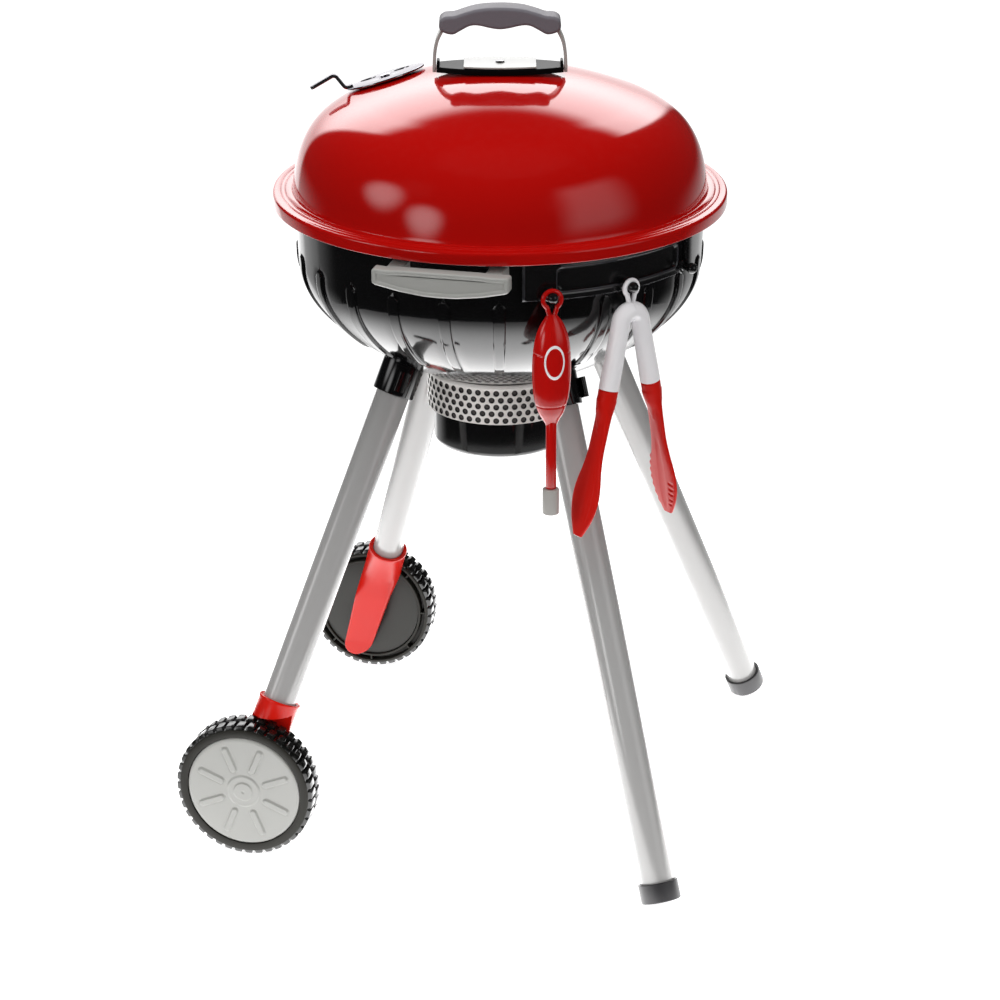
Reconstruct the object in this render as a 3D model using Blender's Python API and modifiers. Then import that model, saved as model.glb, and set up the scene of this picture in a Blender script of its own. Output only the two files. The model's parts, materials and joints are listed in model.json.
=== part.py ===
"""Toy kettle barbecue grill: a bowl on four splayed tube legs, two of them on
treaded wheels, with a lift-off lid, a tool rack, a toy igniter and toy tongs.

Metres, +Z up. The floor is z = 0, the silver front handle faces -Y, the wheels
are on the -X side. The origin is the middle of the footprint, on the floor."""

import math

import bmesh
import bpy
from mathutils import Euler, Matrix, Vector

# Fits and cuts
CLEARANCE = 0.0003          # gap between pieces that seat on each other
OVERRUN = 0.02              # how far a cutter runs past what it cuts
MERGE = 0.00001             # merge distance of turned and welded meshes

# Bowl
RIM_HEIGHT = 0.4276         # lower edge of the lid's rim above the floor
BOWL_RADIUS = 0.1375
BOWL_DRAFT = 0.0015         # how much the straight side draws in
BOWL_SIDE = 0.0356          # height of the straight side
BOWL_DEPTH = 0.1156         # from the rim's lower edge to the bowl's bottom
BOWL_BOTTOM_RADIUS = 0.050
BOWL_WALL = 0.0025
LIP_WIDTH = 0.0090          # how far the lip reaches past the bowl's side
LIP_THICKNESS = 0.0025
LEDGE_WIDTH = 0.0045        # ring inside the bowl that carries the grate
LEDGE_THICKNESS = 0.003
LEDGE_DROP = 0.014          # from the rim's lower edge to the ledge's top
RIB_COUNT = 24
RIB_START = math.radians(-76.5)
RIB_WIDTH = 0.0082          # at the bowl's side; it narrows with the radius
RIB_HEIGHT = 0.0013
RIB_SINK = 0.0008
RIB_TOP_GAP = 0.0006        # between the tool rack and the ribs' points
RIB_POINT = 0.0060          # the pointed top above the shoulders
RIB_END_GAP = 0.0048        # from the leg sockets' outer side to the ribs' lower ends

# Lid
RIM_WIDTH = 0.0147          # how far the rim reaches past the bowl's side
RIM_ROLL = 0.0022           # radius of the rolled edge
RIM_WALL = 0.0022
RIM_RIDGE = 0.0006          # height of the two fine ridges on the rim
RIM_RIDGE_WIDTH = 0.0018
DOME_STEP = 0.0015          # how far the dome's foot lies outside the bowl's side
DOME_FOOT = 0.0087          # from the rim's lower edge to the foot of the dome
DOME_HEIGHT = 0.0876        # from the rim's lower edge to the top of the dome
SHOULDER_WIDTH = 0.0470     # from the shallow crown's end to the dome's foot
CROWN_RISE = 0.0169         # how far the crown rises over its own edge
LID_WALL = 0.0023
LID_TURN = math.radians(14)     # the lid sits turned on the bowl
LID_HOLE_RADIUS = 0.0050

# Lid handle
GRIP_LENGTH = 0.0796
GRIP_HEIGHT = 0.0180
GRIP_DEPTH = 0.0190
GRIP_EDGE = 0.0030
HANDLE_HEIGHT = 0.0436      # from the top of the dome to the top of the grip
STRAP_WIDTH = 0.0120
STRAP_THICKNESS = 0.0022
STRAP_INSET = 0.0030        # how far the straps reach into the grip
BASE_LENGTH = 0.0840
BASE_DEPTH = 0.0340
BASE_END_DEPTH = 0.0160
BASE_THICKNESS = 0.0036
BASE_LIP = 0.0034
BASE_LIP_WIDTH = 0.0020
PLATE_LENGTH = 0.0480
PLATE_THICKNESS = 0.0012
PLATE_MARGIN = 0.0012
SCREW_RADIUS = 0.0030
SCREW_HEIGHT = 0.0010

# Damper
DAMPER_INSET = 0.0080       # from the crown's end in to the damper's centre
DAMPER_AZIMUTH = math.radians(156)
DAMPER_TURN = math.radians(29)
DAMPER_RADIUS = 0.0275
DAMPER_THICKNESS = 0.0014
DAMPER_HOLE_OFFSET = 0.0170
DAMPER_HOLE_RADIUS = 0.0054
DAMPER_HOLE_ANGLES = (math.radians(-48), math.radians(-136))
TAB_WIDTH = 0.0100
TAB_THICKNESS = 0.0020
TAB_RISE = 0.0125
TAB_LEAN = 0.0045
TAB_REACH = 0.0225
TAB_DROP = 0.0040
TAB_BEND = 0.0030
RIVET_RADIUS = 0.0030
RIVET_HEAD_RADIUS = 0.0045
RIVET_HEAD_HEIGHT = 0.0012
RIVET_PLAY = 0.0012         # between the lid and the rivet's clenched end

# Front handle
FRONT_HANDLE_LENGTH = 0.0890
FRONT_HANDLE_HEIGHT = 0.0165
FRONT_HANDLE_DEPTH = 0.0090
FRONT_HANDLE_STANDOFF = 0.0225  # from the bowl's side to the handle's face
FRONT_HANDLE_DROP = 0.0035      # from the rim's lower edge to the handle's top
FRONT_HANDLE_EDGE = 0.0010
FRONT_HANDLE_FRAME = 0.0018     # width of the raised border on the face
FRONT_HANDLE_RECESS = 0.0006
POST_WIDTH = 0.0110
POST_HEIGHT = 0.0090
POST_SPACING = 0.0640

# Tool rack
RACK_AZIMUTH = math.radians(-42)
RACK_ANGLE = math.radians(57)
RACK_TOP_DROP = 0.0012
RACK_HEIGHT = 0.0262
RACK_THICKNESS = 0.0045
RACK_EDGE = 0.0008
PANEL_ANGLE = math.radians(39)
PANEL_HEIGHT = 0.0150
PANEL_TOP_DROP = 0.0050
PANEL_RECESS = 0.0016
CLIP_WIDTH = 0.0060
CLIP_DEPTH = 0.0035
CLIP_ANGLE = math.radians(23.5)     # from the rack's middle to the clip
PEG_COUNT = 3
PEG_SPACING = math.radians(21.5)
PEG_DROP = 0.0226           # from the rim's lower edge to the pegs
PEG_RADIUS = 0.0022
PEG_LENGTH = 0.0062
PEG_BULB_RADIUS = 0.0036
PEG_BOSS_RADIUS = 0.0046
PEG_BOSS_LENGTH = 0.0016

# Legs
LEG_AZIMUTH = math.radians(48.5)
SOCKET_OFFSET = 0.0811      # a point on each leg's centre line, from the kettle's axis
SOCKET_DROP = 0.0065        # how far that point lies under the bowl's side
FOOT_REACH = 0.2312         # where the centre line meets the floor
TUBE_RADIUS = 0.0113
TUBE_WALL = 0.0012
TUBE_INSERT = 0.0200
SOCKET_WALL = 0.0027
SOCKET_LENGTH = 0.0150      # below the point that sets its place
SOCKET_TAB = 0.0030
SOCKET_TAB_WIDTH = 0.0090
SOCKET_TAB_DROP = 0.0040
FOOT_WALL = 0.0017
FOOT_LENGTH = 0.0130
FOOT_FLOOR = 0.0030         # thickness of the cap under the tube
FOOT_FLAT = 0.0012          # depth of the flat that stands on the floor

# Wheels
WHEEL_RADIUS = 0.0481
WHEEL_WIDTH = 0.0220
WHEEL_SETOUT = 0.0004       # wheel centre outside the leg's centre line
LUG_HEIGHT = 0.0026
LUG_COUNT = 40
LUG_INSET = 0.0012          # from the tyre's faces to the lug rows
LUG_ROW_GAP = 0.0016
TREAD_WALL = 0.0023
SIDEWALL_WIDTH = 0.0056
SIDE_CHAMFER = 0.0010
WEB_THICKNESS = 0.0040
HUB_RADIUS = 0.0080
RING_WALL = 0.0018
RING_RECESS = 0.0060
RING_RIBS = 8
RING_RIB_WIDTH = 0.0016
BACK_DISC_THICKNESS = 0.0020
BACK_DISC_DROP = 0.0015
BACK_DISC_PLAY = 0.0005     # round the hub
HUBCAP_DEPTH = 0.0030
HUBCAP_EDGE = 0.0020
SPOKE_COUNT = 8
SPOKE_MARGIN = 0.0054       # from the spokes' ends to the hubcap's edge
SPOKE_WIDTH = 0.0052
SPOKE_HEIGHT = 0.0009
SPOKE_START = 0.0145
BOSS_RADIUS = 0.0120
BOSS_HEIGHT = 0.0016
BOSS_RING_RADIUS = 0.0062
AXLE_RADIUS = 0.0030
AXLE_HEAD_RADIUS = 0.0060
AXLE_HEAD_THICKNESS = 0.0012

# Wheel brackets
BRACKET_GAP = 0.0012        # running gap to the wheel
MOUTH_RISE = 0.0088         # from the top of the wheel to the collar's mouth
COLLAR_SLEEVE = 0.0026      # wall of the collar round the tube
COLLAR_INSERT = 0.0180
COLLAR_WALL = 0.0016        # between the tube's cut end and the wheel side
TONGUE_TOP_WIDTH = 0.0290
TONGUE_END_WIDTH = 0.0200
TONGUE_REACH = 0.0376       # from the axle down to the tongue's end
TONGUE_END_THICKNESS = 0.0036
TONGUE_TOP_THICKNESS = 0.0175
TONGUE_EDGE = 0.0010

# Vent band and ash cup
BAND_WALL = 0.0020
BAND_HEIGHT = 0.0285
BAND_LIP_HEIGHT = 0.0035
BAND_LIP = 0.0010
CUP_STEP = 0.0048           # how far the cup lies inside the band's outside
CUP_HEIGHT = 0.0260
CUP_WALL = 0.0022
CUP_EDGE = 0.0035
CUP_INSERT = 0.0060

# Cooking grate and coal bed
GRATE_THICKNESS = 0.0030
GRATE_BORDER = 0.0060
GRATE_BAR = 0.0045
GRATE_SLOT = 0.0095
COAL_DROP = 0.0640          # from the rim's lower edge to the coal bed's top
COAL_THICKNESS = 0.0080
COAL_COUNT = 13
COAL_SIZE = 0.0130
COAL_TURN = math.radians(137.5)     # turn from each coal to the next

# Igniter
TOOL_WIRE = 0.0016
IGNITER_LOOP_RADIUS = 0.0058
IGNITER_LOOP_NECK = 0.0070
IGNITER_LENGTH = 0.0745
IGNITER_RADIUS = 0.0124
IGNITER_FLATNESS = 0.72
IGNITER_ROD_RADIUS = 0.0035
IGNITER_ROD_LENGTH = 0.0440
IGNITER_ROD_INSERT = 0.0060
IGNITER_TIP_RADIUS = 0.0054
IGNITER_TIP_LENGTH = 0.0172
IGNITER_TIP_EDGE = 0.0012
LABEL_LENGTH = 0.0235
LABEL_WIDTH = 0.0140
LABEL_THICKNESS = 0.0012
LABEL_SINK = 0.0008
LABEL_DROP = 0.0300         # from the body's top to the label's centre

# Tongs
TONGS_LOOP_RADIUS = 0.0050
TONGS_LOOP_NECK = 0.0075
BOW_RADIUS = 0.0066         # radius of the white tube
BOW_GAP = 0.0010            # from the bow's middle line to its tube
BOW_STUB = 0.0020           # straight end of the bow above each arm
ARM_SPLAY = math.radians(11.8)
ARM_SQUEEZE = math.radians(11)      # how far each arm bends in
ARM_LENGTH = 0.0430
ARM_END_RADIUS = 0.0072
JAW_LENGTH = 0.1000
JAW_WIDTH = 0.0260
JAW_THICKNESS = 0.0032
TOOTH_COUNT = 7
TOOTH_HEIGHT = 0.0014

# Segments of round pieces
FINE = 40
MEDIUM = 20
SMALL = 12
TINY = 10

# Shares of a piece's own sizes, chosen by eye
SIDE_CURVE_SHARES = ((1.00, 0.00), (1.005, 0.375), (0.56, 0.775), (0.00, 1.00))
SHOULDER_SHARES = ((0.0, 0.0), (0.72, 0.19), (0.93, 0.45), (1.0, 1.0))
GRIP_SHARES = ((0.00, 1.00), (0.40, 0.93), (0.74, 0.70), (0.91, 0.66), (1.00, 0.46), (1.00, 0.22),
               (0.93, 0.07), (0.78, 0.00), (0.65, 0.14), (0.50, 0.31), (0.36, 0.33), (0.15, 0.23),
               (0.00, 0.19))
FRONT_HANDLE_SHARES = ((0.00, 1.00), (0.55, 1.00), (0.80, 0.97), (0.97, 1.00), (1.00, 0.93),
                       (1.00, 0.42), (0.95, 0.34), (0.60, 0.14), (0.25, 0.02), (0.00, 0.00))
BODY_SHARES = ((0.00, 0.22), (0.06, 0.48), (0.16, 0.76), (0.30, 0.94), (0.45, 1.00), (0.60, 0.99),
               (0.75, 0.90), (0.88, 0.68), (0.96, 0.42), (1.00, 0.30))
BLADE_SHARES = ((0.20, 0.52), (0.42, 0.56), (0.54, 0.72), (0.68, 1.00), (0.78, 1.00), (0.90, 0.72),
                (1.00, 0.30))
LUG_SHARES = (-0.32, 0.32, 0.50)    # a lug's two edges and the groove after it
BLADE_SHIFT_SHARE = 0.20
SOCKET_SHARE = 0.10         # how much of the jaw is its round socket
TOOTH_START_SHARE = 0.58
TOOTH_SPAN_SHARE = 0.372
STRAP_SHARES = ((0.00, 1.00), (0.25, 0.98), (0.50, 0.88), (0.75, 0.60), (1.00, 0.00))
COAL_SPREAD_SHARE = 0.86
COAL_FLAT_SHARE = 0.55
COAL_WIDTH_SHARE = 0.80

def clear_scene():
    """Remove every object so that the model starts empty."""
    for obj in list(bpy.data.objects):
        bpy.data.objects.remove(obj, do_unlink=True)


def make_collection(name):
    """Make a collection under the scene."""
    collection = bpy.data.collections.new(name)
    bpy.context.scene.collection.children.link(collection)
    return collection


clear_scene()
GRILL = make_collection("toy_barbecue_grill")
CUTTERS = make_collection("cutters")


def make_material(name, colour, roughness, metallic=0.0):
    """Make a Principled material."""
    material = bpy.data.materials.new(name)
    material.use_nodes = True
    shader = material.node_tree.nodes["Principled BSDF"]
    shader.inputs["Base Color"].default_value = (*colour, 1.0)
    shader.inputs["Roughness"].default_value = roughness
    shader.inputs["Metallic"].default_value = metallic
    material.diffuse_color = (*colour, 1.0)
    return material


RED_GLOSS = make_material("red gloss plastic", (0.46, 0.004, 0.004), 0.12)
BLACK_GLOSS = make_material("black gloss plastic", (0.006, 0.006, 0.007), 0.10)
SILVER_PLASTIC = make_material("silver grey plastic", (0.42, 0.42, 0.43), 0.35)
LEG_SILVER = make_material("silver leg finish", (0.45, 0.46, 0.46), 0.30, 0.6)
CHROME = make_material("chrome", (0.80, 0.80, 0.80), 0.06, 1.0)
DARK_RUBBER = make_material("dark rubber", (0.015, 0.015, 0.017), 0.55)
TYRE_BLACK = make_material("tyre black plastic", (0.010, 0.010, 0.010), 0.30)
DARK_GREY = make_material("dark grey plastic", (0.060, 0.060, 0.062), 0.45)
GRIP_GREY = make_material("grip grey plastic", (0.11, 0.11, 0.115), 0.50)
TOOL_RED = make_material("tool red plastic", (0.60, 0.015, 0.015), 0.22)
TOOL_WHITE = make_material("tool white plastic", (0.82, 0.80, 0.82), 0.28)
TIP_GREY = make_material("tip grey plastic", (0.30, 0.30, 0.30), 0.40)
GRATE_GREY = make_material("grate grey plastic", (0.20, 0.20, 0.205), 0.40)
COAL_BLACK = make_material("coal black plastic", (0.02, 0.018, 0.018), 0.70)


def place(obj, material=None, parent=None, collection=None):
    """Link an object, give it its material and parent it."""
    (collection or GRILL).objects.link(obj)
    if material:
        obj.data.materials.clear()
        obj.data.materials.append(material)
    if parent:
        obj.parent = parent
    return obj


def make_empty(name, location, rotation=(0.0, 0.0, 0.0), parent=None):
    """Make an empty that carries an assembly."""
    empty = bpy.data.objects.new(name, None)
    empty.location = location
    empty.rotation_euler = rotation
    return place(empty, parent=parent)


def mesh_from_bmesh(name, bm):
    """Turn a bmesh into a mesh whose faces point out."""
    bmesh.ops.recalc_face_normals(bm, faces=bm.faces)
    mesh = bpy.data.meshes.new(name)
    bm.to_mesh(mesh)
    bm.free()
    return mesh


def turned(name, profile, segments=FINE, ring=False):
    """Turn a profile of (radius, height) points about Z with a Screw modifier.

    The points run down the outer side. A ring's profile closes on itself."""
    count = len(profile)
    edges = [(i, i + 1) for i in range(count - 1)]
    if ring:
        edges.append((count - 1, 0))
    mesh = bpy.data.meshes.new(name)
    mesh.from_pydata([(r, 0.0, z) for r, z in profile], edges, [])
    obj = bpy.data.objects.new(name, mesh)
    screw = obj.modifiers.new("turn", "SCREW")
    screw.steps = screw.render_steps = segments
    screw.use_merge_vertices = True
    screw.merge_threshold = MERGE
    screw.use_smooth_shade = True
    return obj


def box(name, size, centre=(0.0, 0.0, 0.0), bevel=0.0, segments=2):
    """A box from a cube primitive, with rounded edges if asked."""
    bm = bmesh.new()
    bmesh.ops.create_cube(bm, size=1.0)
    bmesh.ops.scale(bm, vec=size, verts=bm.verts)
    bmesh.ops.translate(bm, vec=centre, verts=bm.verts)
    obj = bpy.data.objects.new(name, mesh_from_bmesh(name, bm))
    if bevel:
        add_bevel(obj, bevel, segments)
    return obj


def rod(name, radius, low, high, segments=MEDIUM, end_radius=None):
    """A cylinder or cone about Z from one height to another."""
    bm = bmesh.new()
    top = radius if end_radius is None else end_radius
    bmesh.ops.create_cone(bm, cap_ends=True, segments=segments, radius1=radius, radius2=top, depth=high - low)
    bmesh.ops.translate(bm, vec=(0.0, 0.0, (low + high) / 2), verts=bm.verts)
    return bpy.data.objects.new(name, mesh_from_bmesh(name, bm))


def loft(name, sections):
    """A solid through sections that each have the same number of points."""
    bm = bmesh.new()
    rings = [[bm.verts.new(point) for point in section] for section in sections]
    for low, high in zip(rings, rings[1:]):
        for i in range(len(low)):
            j = (i + 1) % len(low)
            bm.faces.new((low[i], low[j], high[j], high[i]))
    bm.faces.new(list(reversed(rings[0])))
    bm.faces.new(rings[-1])
    return bpy.data.objects.new(name, mesh_from_bmesh(name, bm))


def as_mesh(obj):
    """Replace a curve or modified object by its evaluated, welded mesh."""
    CUTTERS.objects.link(obj)
    depsgraph = bpy.context.evaluated_depsgraph_get()
    mesh = bpy.data.meshes.new_from_object(obj.evaluated_get(depsgraph))
    bm = bmesh.new()
    bm.from_mesh(mesh)
    bmesh.ops.remove_doubles(bm, verts=bm.verts, dist=MERGE)
    bmesh.ops.recalc_face_normals(bm, faces=bm.faces)
    bm.to_mesh(mesh)
    bm.free()
    result = bpy.data.objects.new(obj.name, mesh)
    result.matrix_world = obj.matrix_world
    name = obj.name
    bpy.data.objects.remove(obj, do_unlink=True)
    result.name = name
    return result


def flat_outline(name, splines, thickness, smooth=False, resolution=2):
    """A flat filled outline in XY, extruded evenly to both sides of z = 0."""
    curve = bpy.data.curves.new(name, "CURVE")
    curve.dimensions = "2D"
    curve.fill_mode = "BOTH"
    curve.extrude = thickness / 2
    curve.resolution_u = resolution
    for points in splines:
        spline = curve.splines.new("BEZIER" if smooth else "POLY")
        spline.use_cyclic_u = True
        if smooth:
            spline.bezier_points.add(len(points) - 1)
            for knot, (x, y) in zip(spline.bezier_points, points):
                knot.co = (x, y, 0.0)
                knot.handle_left_type = knot.handle_right_type = "AUTO"
        else:
            spline.points.add(len(points) - 1)
            for knot, (x, y) in zip(spline.points, points):
                knot.co = (x, y, 0.0, 1.0)
    return as_mesh(bpy.data.objects.new(name, curve))


def bent_tube(name, points, radius, resolution=1, cyclic=False):
    """A round tube along points."""
    curve = bpy.data.curves.new(name, "CURVE")
    curve.dimensions = "3D"
    curve.bevel_depth = radius
    curve.bevel_resolution = resolution
    curve.use_fill_caps = True
    spline = curve.splines.new("POLY")
    spline.use_cyclic_u = cyclic
    spline.points.add(len(points) - 1)
    for i, point in enumerate(points):
        spline.points[i].co = (*point, 1.0)
    return as_mesh(bpy.data.objects.new(name, curve))


def add_bevel(obj, width, segments=2, angle=math.radians(40)):
    """Round an object's sharp edges."""
    bevel = obj.modifiers.new("rounded edges", "BEVEL")
    bevel.width = width
    bevel.segments = segments
    bevel.limit_method = "ANGLE"
    bevel.angle_limit = angle
    return obj


def combine(obj, other, operation):
    """Join or cut an object with another, kept as a wire cutter."""
    if not other.users_collection:
        CUTTERS.objects.link(other)
    other.hide_render = True
    other.display_type = "WIRE"
    boolean = obj.modifiers.new(operation.lower(), "BOOLEAN")
    boolean.operation = operation
    boolean.object = other
    return obj


def cut(obj, cutter):
    return combine(obj, cutter, "DIFFERENCE")


def join(obj, other):
    return combine(obj, other, "UNION")


def move(obj, location=(0.0, 0.0, 0.0), rotation=(0.0, 0.0, 0.0)):
    """Move an object's mesh points, leaving its origin where it is."""
    obj.data.transform(Matrix.LocRotScale(Vector(location), Euler(rotation), None))
    return obj


def merged(name, objects):
    """Several meshes as one object of separate shells, for cutting with."""
    bm = bmesh.new()
    for obj in objects:
        bm.from_mesh(obj.data)
        bpy.data.objects.remove(obj, do_unlink=True)
    mesh = bpy.data.meshes.new(name)
    bm.to_mesh(mesh)
    bm.free()
    return bpy.data.objects.new(name, mesh)


def polar(radius, angle, height=0.0):
    return Vector((radius * math.cos(angle), radius * math.sin(angle), height))


def bezier(p0, p1, p2, p3, count):
    """Points along a cubic curve in the plane."""
    points = []
    for i in range(count + 1):
        t = i / count
        a, b, c, d = (1 - t) ** 3, 3 * (1 - t) ** 2 * t, 3 * (1 - t) * t * t, t ** 3
        points.append(tuple(a * u + b * v + c * w + d * x for u, v, w, x in zip(p0, p1, p2, p3)))
    return points


def offset_profile(points, distance):
    """Shift a profile sideways; a positive distance goes to its left."""
    shifted = []
    for i, (r, z) in enumerate(points):
        before = points[max(i - 1, 0)]
        after = points[min(i + 1, len(points) - 1)]
        dr, dz = after[0] - before[0], after[1] - before[1]
        length = math.hypot(dr, dz)
        shifted.append((r - distance * dz / length, z + distance * dr / length))
    return shifted


def mirrored_outline(shares, half_length, height):
    """A closed outline from shares of one half, mirrored left to right."""
    right = [(x * half_length, y * height) for x, y in shares]
    left = [(-x, y) for x, y in reversed(right) if x > 0]
    return right + left


# Bowl profile

BOWL_LOW_RADIUS = BOWL_RADIUS - BOWL_DRAFT
BOTTOM_HEIGHT = RIM_HEIGHT - BOWL_DEPTH


def bowl_outer(count=7):
    """The bowl's outer side from the rim's lower edge down to the bottom."""
    side_end = RIM_HEIGHT - BOWL_SIDE
    span = BOWL_LOW_RADIUS - BOWL_BOTTOM_RADIUS
    drop = BOWL_DEPTH - BOWL_SIDE
    knots = [(BOWL_BOTTOM_RADIUS + r * span, side_end - z * drop) for r, z in SIDE_CURVE_SHARES]
    return [(BOWL_RADIUS, RIM_HEIGHT)] + bezier(*knots, count)


def radius_at(profile, height):
    """The radius where a falling profile passes a height."""
    for (r0, z0), (r1, z1) in zip(profile, profile[1:]):
        if z1 <= height <= z0:
            return r0 + (r1 - r0) * (z0 - height) / (z0 - z1)
    return profile[-1][0]


def height_at(profile, radius):
    """The height where a falling profile passes a radius."""
    for (r0, z0), (r1, z1) in zip(profile, profile[1:]):
        if r1 <= radius <= r0 and r0 > r1:
            return z0 + (z1 - z0) * (r0 - radius) / (r0 - r1)
    return profile[-1][1]


# Places and sizes that follow from the sizes above

SOCKET_HEIGHT = height_at(bowl_outer(24), SOCKET_OFFSET) - SOCKET_DROP
SOCKET_RADIUS = TUBE_RADIUS + CLEARANCE + SOCKET_WALL
FOOT_RADIUS = TUBE_RADIUS + CLEARANCE + FOOT_WALL
COLLAR_RADIUS = TUBE_RADIUS + CLEARANCE + COLLAR_SLEEVE
LEG_SLOPE = (FOOT_REACH - SOCKET_OFFSET) / SOCKET_HEIGHT
LEG_SPLAY = math.atan(LEG_SLOPE)
FOOT_CENTRE_HEIGHT = FOOT_RADIUS * math.sin(LEG_SPLAY) - FOOT_FLAT
WHEEL_LEG_REACH = SOCKET_OFFSET + LEG_SLOPE * (SOCKET_HEIGHT - WHEEL_RADIUS)
FOOT_END_REACH = SOCKET_OFFSET + LEG_SLOPE * (SOCKET_HEIGHT - FOOT_CENTRE_HEIGHT)
WHEEL_X = WHEEL_LEG_REACH * math.cos(LEG_AZIMUTH)
WHEEL_Y = WHEEL_LEG_REACH * math.sin(LEG_AZIMUTH) + WHEEL_SETOUT
FOOT_SPREAD = FOOT_RADIUS * math.sqrt(1 - (math.sin(LEG_SPLAY) * math.cos(LEG_AZIMUTH)) ** 2)
KETTLE_X = ((WHEEL_X + WHEEL_RADIUS) - (FOOT_END_REACH * math.cos(LEG_AZIMUTH) + FOOT_SPREAD)) / 2
LIP_TOP = RIM_HEIGHT + DOME_FOOT - RIM_WALL - CLEARANCE
LIP_RADIUS = BOWL_RADIUS + LIP_WIDTH
RIB_TOP_DROP = RACK_TOP_DROP + RACK_HEIGHT + RIB_TOP_GAP + RIB_POINT
RIB_BOTTOM = height_at(bowl_outer(24), SOCKET_OFFSET + SOCKET_RADIUS + RIB_END_GAP)
RIM_RADIUS = BOWL_RADIUS + RIM_WIDTH
DOME_RADIUS = BOWL_RADIUS + DOME_STEP
CROWN_RADIUS = DOME_RADIUS - SHOULDER_WIDTH
CROWN_CURVE = (CROWN_RADIUS ** 2 + CROWN_RISE ** 2) / (2 * CROWN_RISE)
DAMPER_REACH = CROWN_RADIUS - DAMPER_INSET
FRONT_HANDLE_REACH = BOWL_RADIUS + FRONT_HANDLE_STANDOFF
BAND_RADIUS = BOWL_BOTTOM_RADIUS
CUP_RADIUS = BAND_RADIUS - CUP_STEP
BOW_BEND = BOW_RADIUS + BOW_GAP
TREAD_BASE = WHEEL_RADIUS - LUG_HEIGHT
HUBCAP_RADIUS = TREAD_BASE - SIDEWALL_WIDTH
SPOKE_LENGTH = HUBCAP_RADIUS - SPOKE_MARGIN - SPOKE_START
LUG_ROW_WIDTH = (WHEEL_WIDTH - LUG_ROW_GAP) / 2 - LUG_INSET
HUB_BORE = AXLE_RADIUS + CLEARANCE
BACK_DISC_BORE = HUB_RADIUS + BACK_DISC_PLAY
BRACKET_MOUTH = 2 * WHEEL_RADIUS + MOUTH_RISE
TONGUE_END_HEIGHT = WHEEL_RADIUS - TONGUE_REACH
RING_OUTER = TREAD_BASE - TREAD_WALL
RING_INNER = HUBCAP_RADIUS - RING_WALL
RACK_RADIUS = BOWL_RADIUS + CLEARANCE + RACK_THICKNESS
TOOL_PLANE = RACK_RADIUS + PEG_BOSS_LENGTH + PEG_LENGTH - PEG_BULB_RADIUS / 2
PEG_HEIGHT = RIM_HEIGHT - PEG_DROP
HANG_DROP = PEG_RADIUS + CLEARANCE


# Bowl

def bowl_inner():
    """The bowl's inner side, falling from the lip to the floor of the bowl."""
    return offset_profile(bowl_outer(), -BOWL_WALL)


def make_rib(index):
    """One raised rib that follows the bowl's side, pointed at the top."""
    outer = bowl_outer(24)
    steps = 4
    top = RIM_HEIGHT - RIB_TOP_DROP
    heights = [top + (RIB_BOTTOM - top) * i / steps for i in range(steps + 1)]
    half = RIB_WIDTH / BOWL_RADIUS / 2
    sections = []
    for side in (-1, 0, 1):
        line = [(radius_at(outer, z), z) for z in heights]
        if side == 0:
            line[0] = (radius_at(outer, top + RIB_POINT), top + RIB_POINT)
        front = offset_profile(line, RIB_HEIGHT)
        back = offset_profile(line, -RIB_SINK)
        front[0] = ((front[0][0] + back[0][0]) / 2, front[0][1])
        front[-1] = ((front[-1][0] + back[-1][0]) / 2, (front[-1][1] + back[-1][1]) / 2)
        angle = index * math.tau / RIB_COUNT + RIB_START + side * half
        loop = front + list(reversed(back))
        sections.append([polar(r, angle, z) for r, z in loop])
    return loft("rib", sections)


def make_bowl(parent):
    outer = bowl_outer()
    inner = bowl_inner()
    ledge = RIM_HEIGHT - LEDGE_DROP
    ledge_radius = inner[0][0] - LEDGE_WIDTH
    wall = [p for p in inner if p[1] < ledge - LEDGE_THICKNESS - LEDGE_WIDTH]
    floor = (0.0, BOTTOM_HEIGHT + BOWL_WALL)
    below = (radius_at(inner, ledge - LEDGE_THICKNESS - LEDGE_WIDTH), ledge - LEDGE_THICKNESS - LEDGE_WIDTH)
    profile = [floor] + list(reversed(wall)) + [below]
    profile += [(ledge_radius, ledge - LEDGE_THICKNESS), (ledge_radius, ledge), (inner[0][0], ledge)]
    lip_low = LIP_TOP - LIP_THICKNESS
    wall_top = lip_low - CLEARANCE
    profile += [(inner[0][0], wall_top), (BOWL_RADIUS, wall_top)] + outer + [(0.0, BOTTOM_HEIGHT)]
    bowl = place(turned("bowl", profile), BLACK_GLOSS, parent)
    lip = [(LIP_RADIUS, LIP_TOP), (LIP_RADIUS, lip_low), (inner[0][0], lip_low), (inner[0][0], LIP_TOP)]
    place(turned("bowl_lip", lip, ring=True), BLACK_GLOSS, parent)
    ribs = merged("bowl_ribs", [make_rib(i) for i in range(RIB_COUNT)])
    ribs.parent = parent
    return join(bowl, ribs)


def bowl_clearance_cutter(parent, name):
    """The bowl's outer shape grown by the clearance, for cutting what seats on it."""
    grown = offset_profile(bowl_outer(18), CLEARANCE)
    over = RIM_HEIGHT + OVERRUN
    profile = [(0.0, over), (grown[0][0], over)] + grown + [(0.0, grown[-1][1])]
    cutter = turned(name, profile)
    cutter.parent = parent
    return cutter


# Lid

def dome_outer(count=6):
    """The dome's outer side from its top down to the rim."""
    crown_steps = 4
    crown = []
    for i in range(crown_steps + 1):
        r = CROWN_RADIUS * i / crown_steps
        crown.append((r, DOME_HEIGHT - (CROWN_CURVE - math.sqrt(CROWN_CURVE ** 2 - r * r))))
    start = crown[-1]
    end = (DOME_RADIUS, DOME_FOOT)
    wide, tall = end[0] - start[0], end[1] - start[1]
    knots = [(start[0] + r * wide, start[1] + z * tall) for r, z in SHOULDER_SHARES]
    return crown + bezier(*knots, count)[1:]


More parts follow.
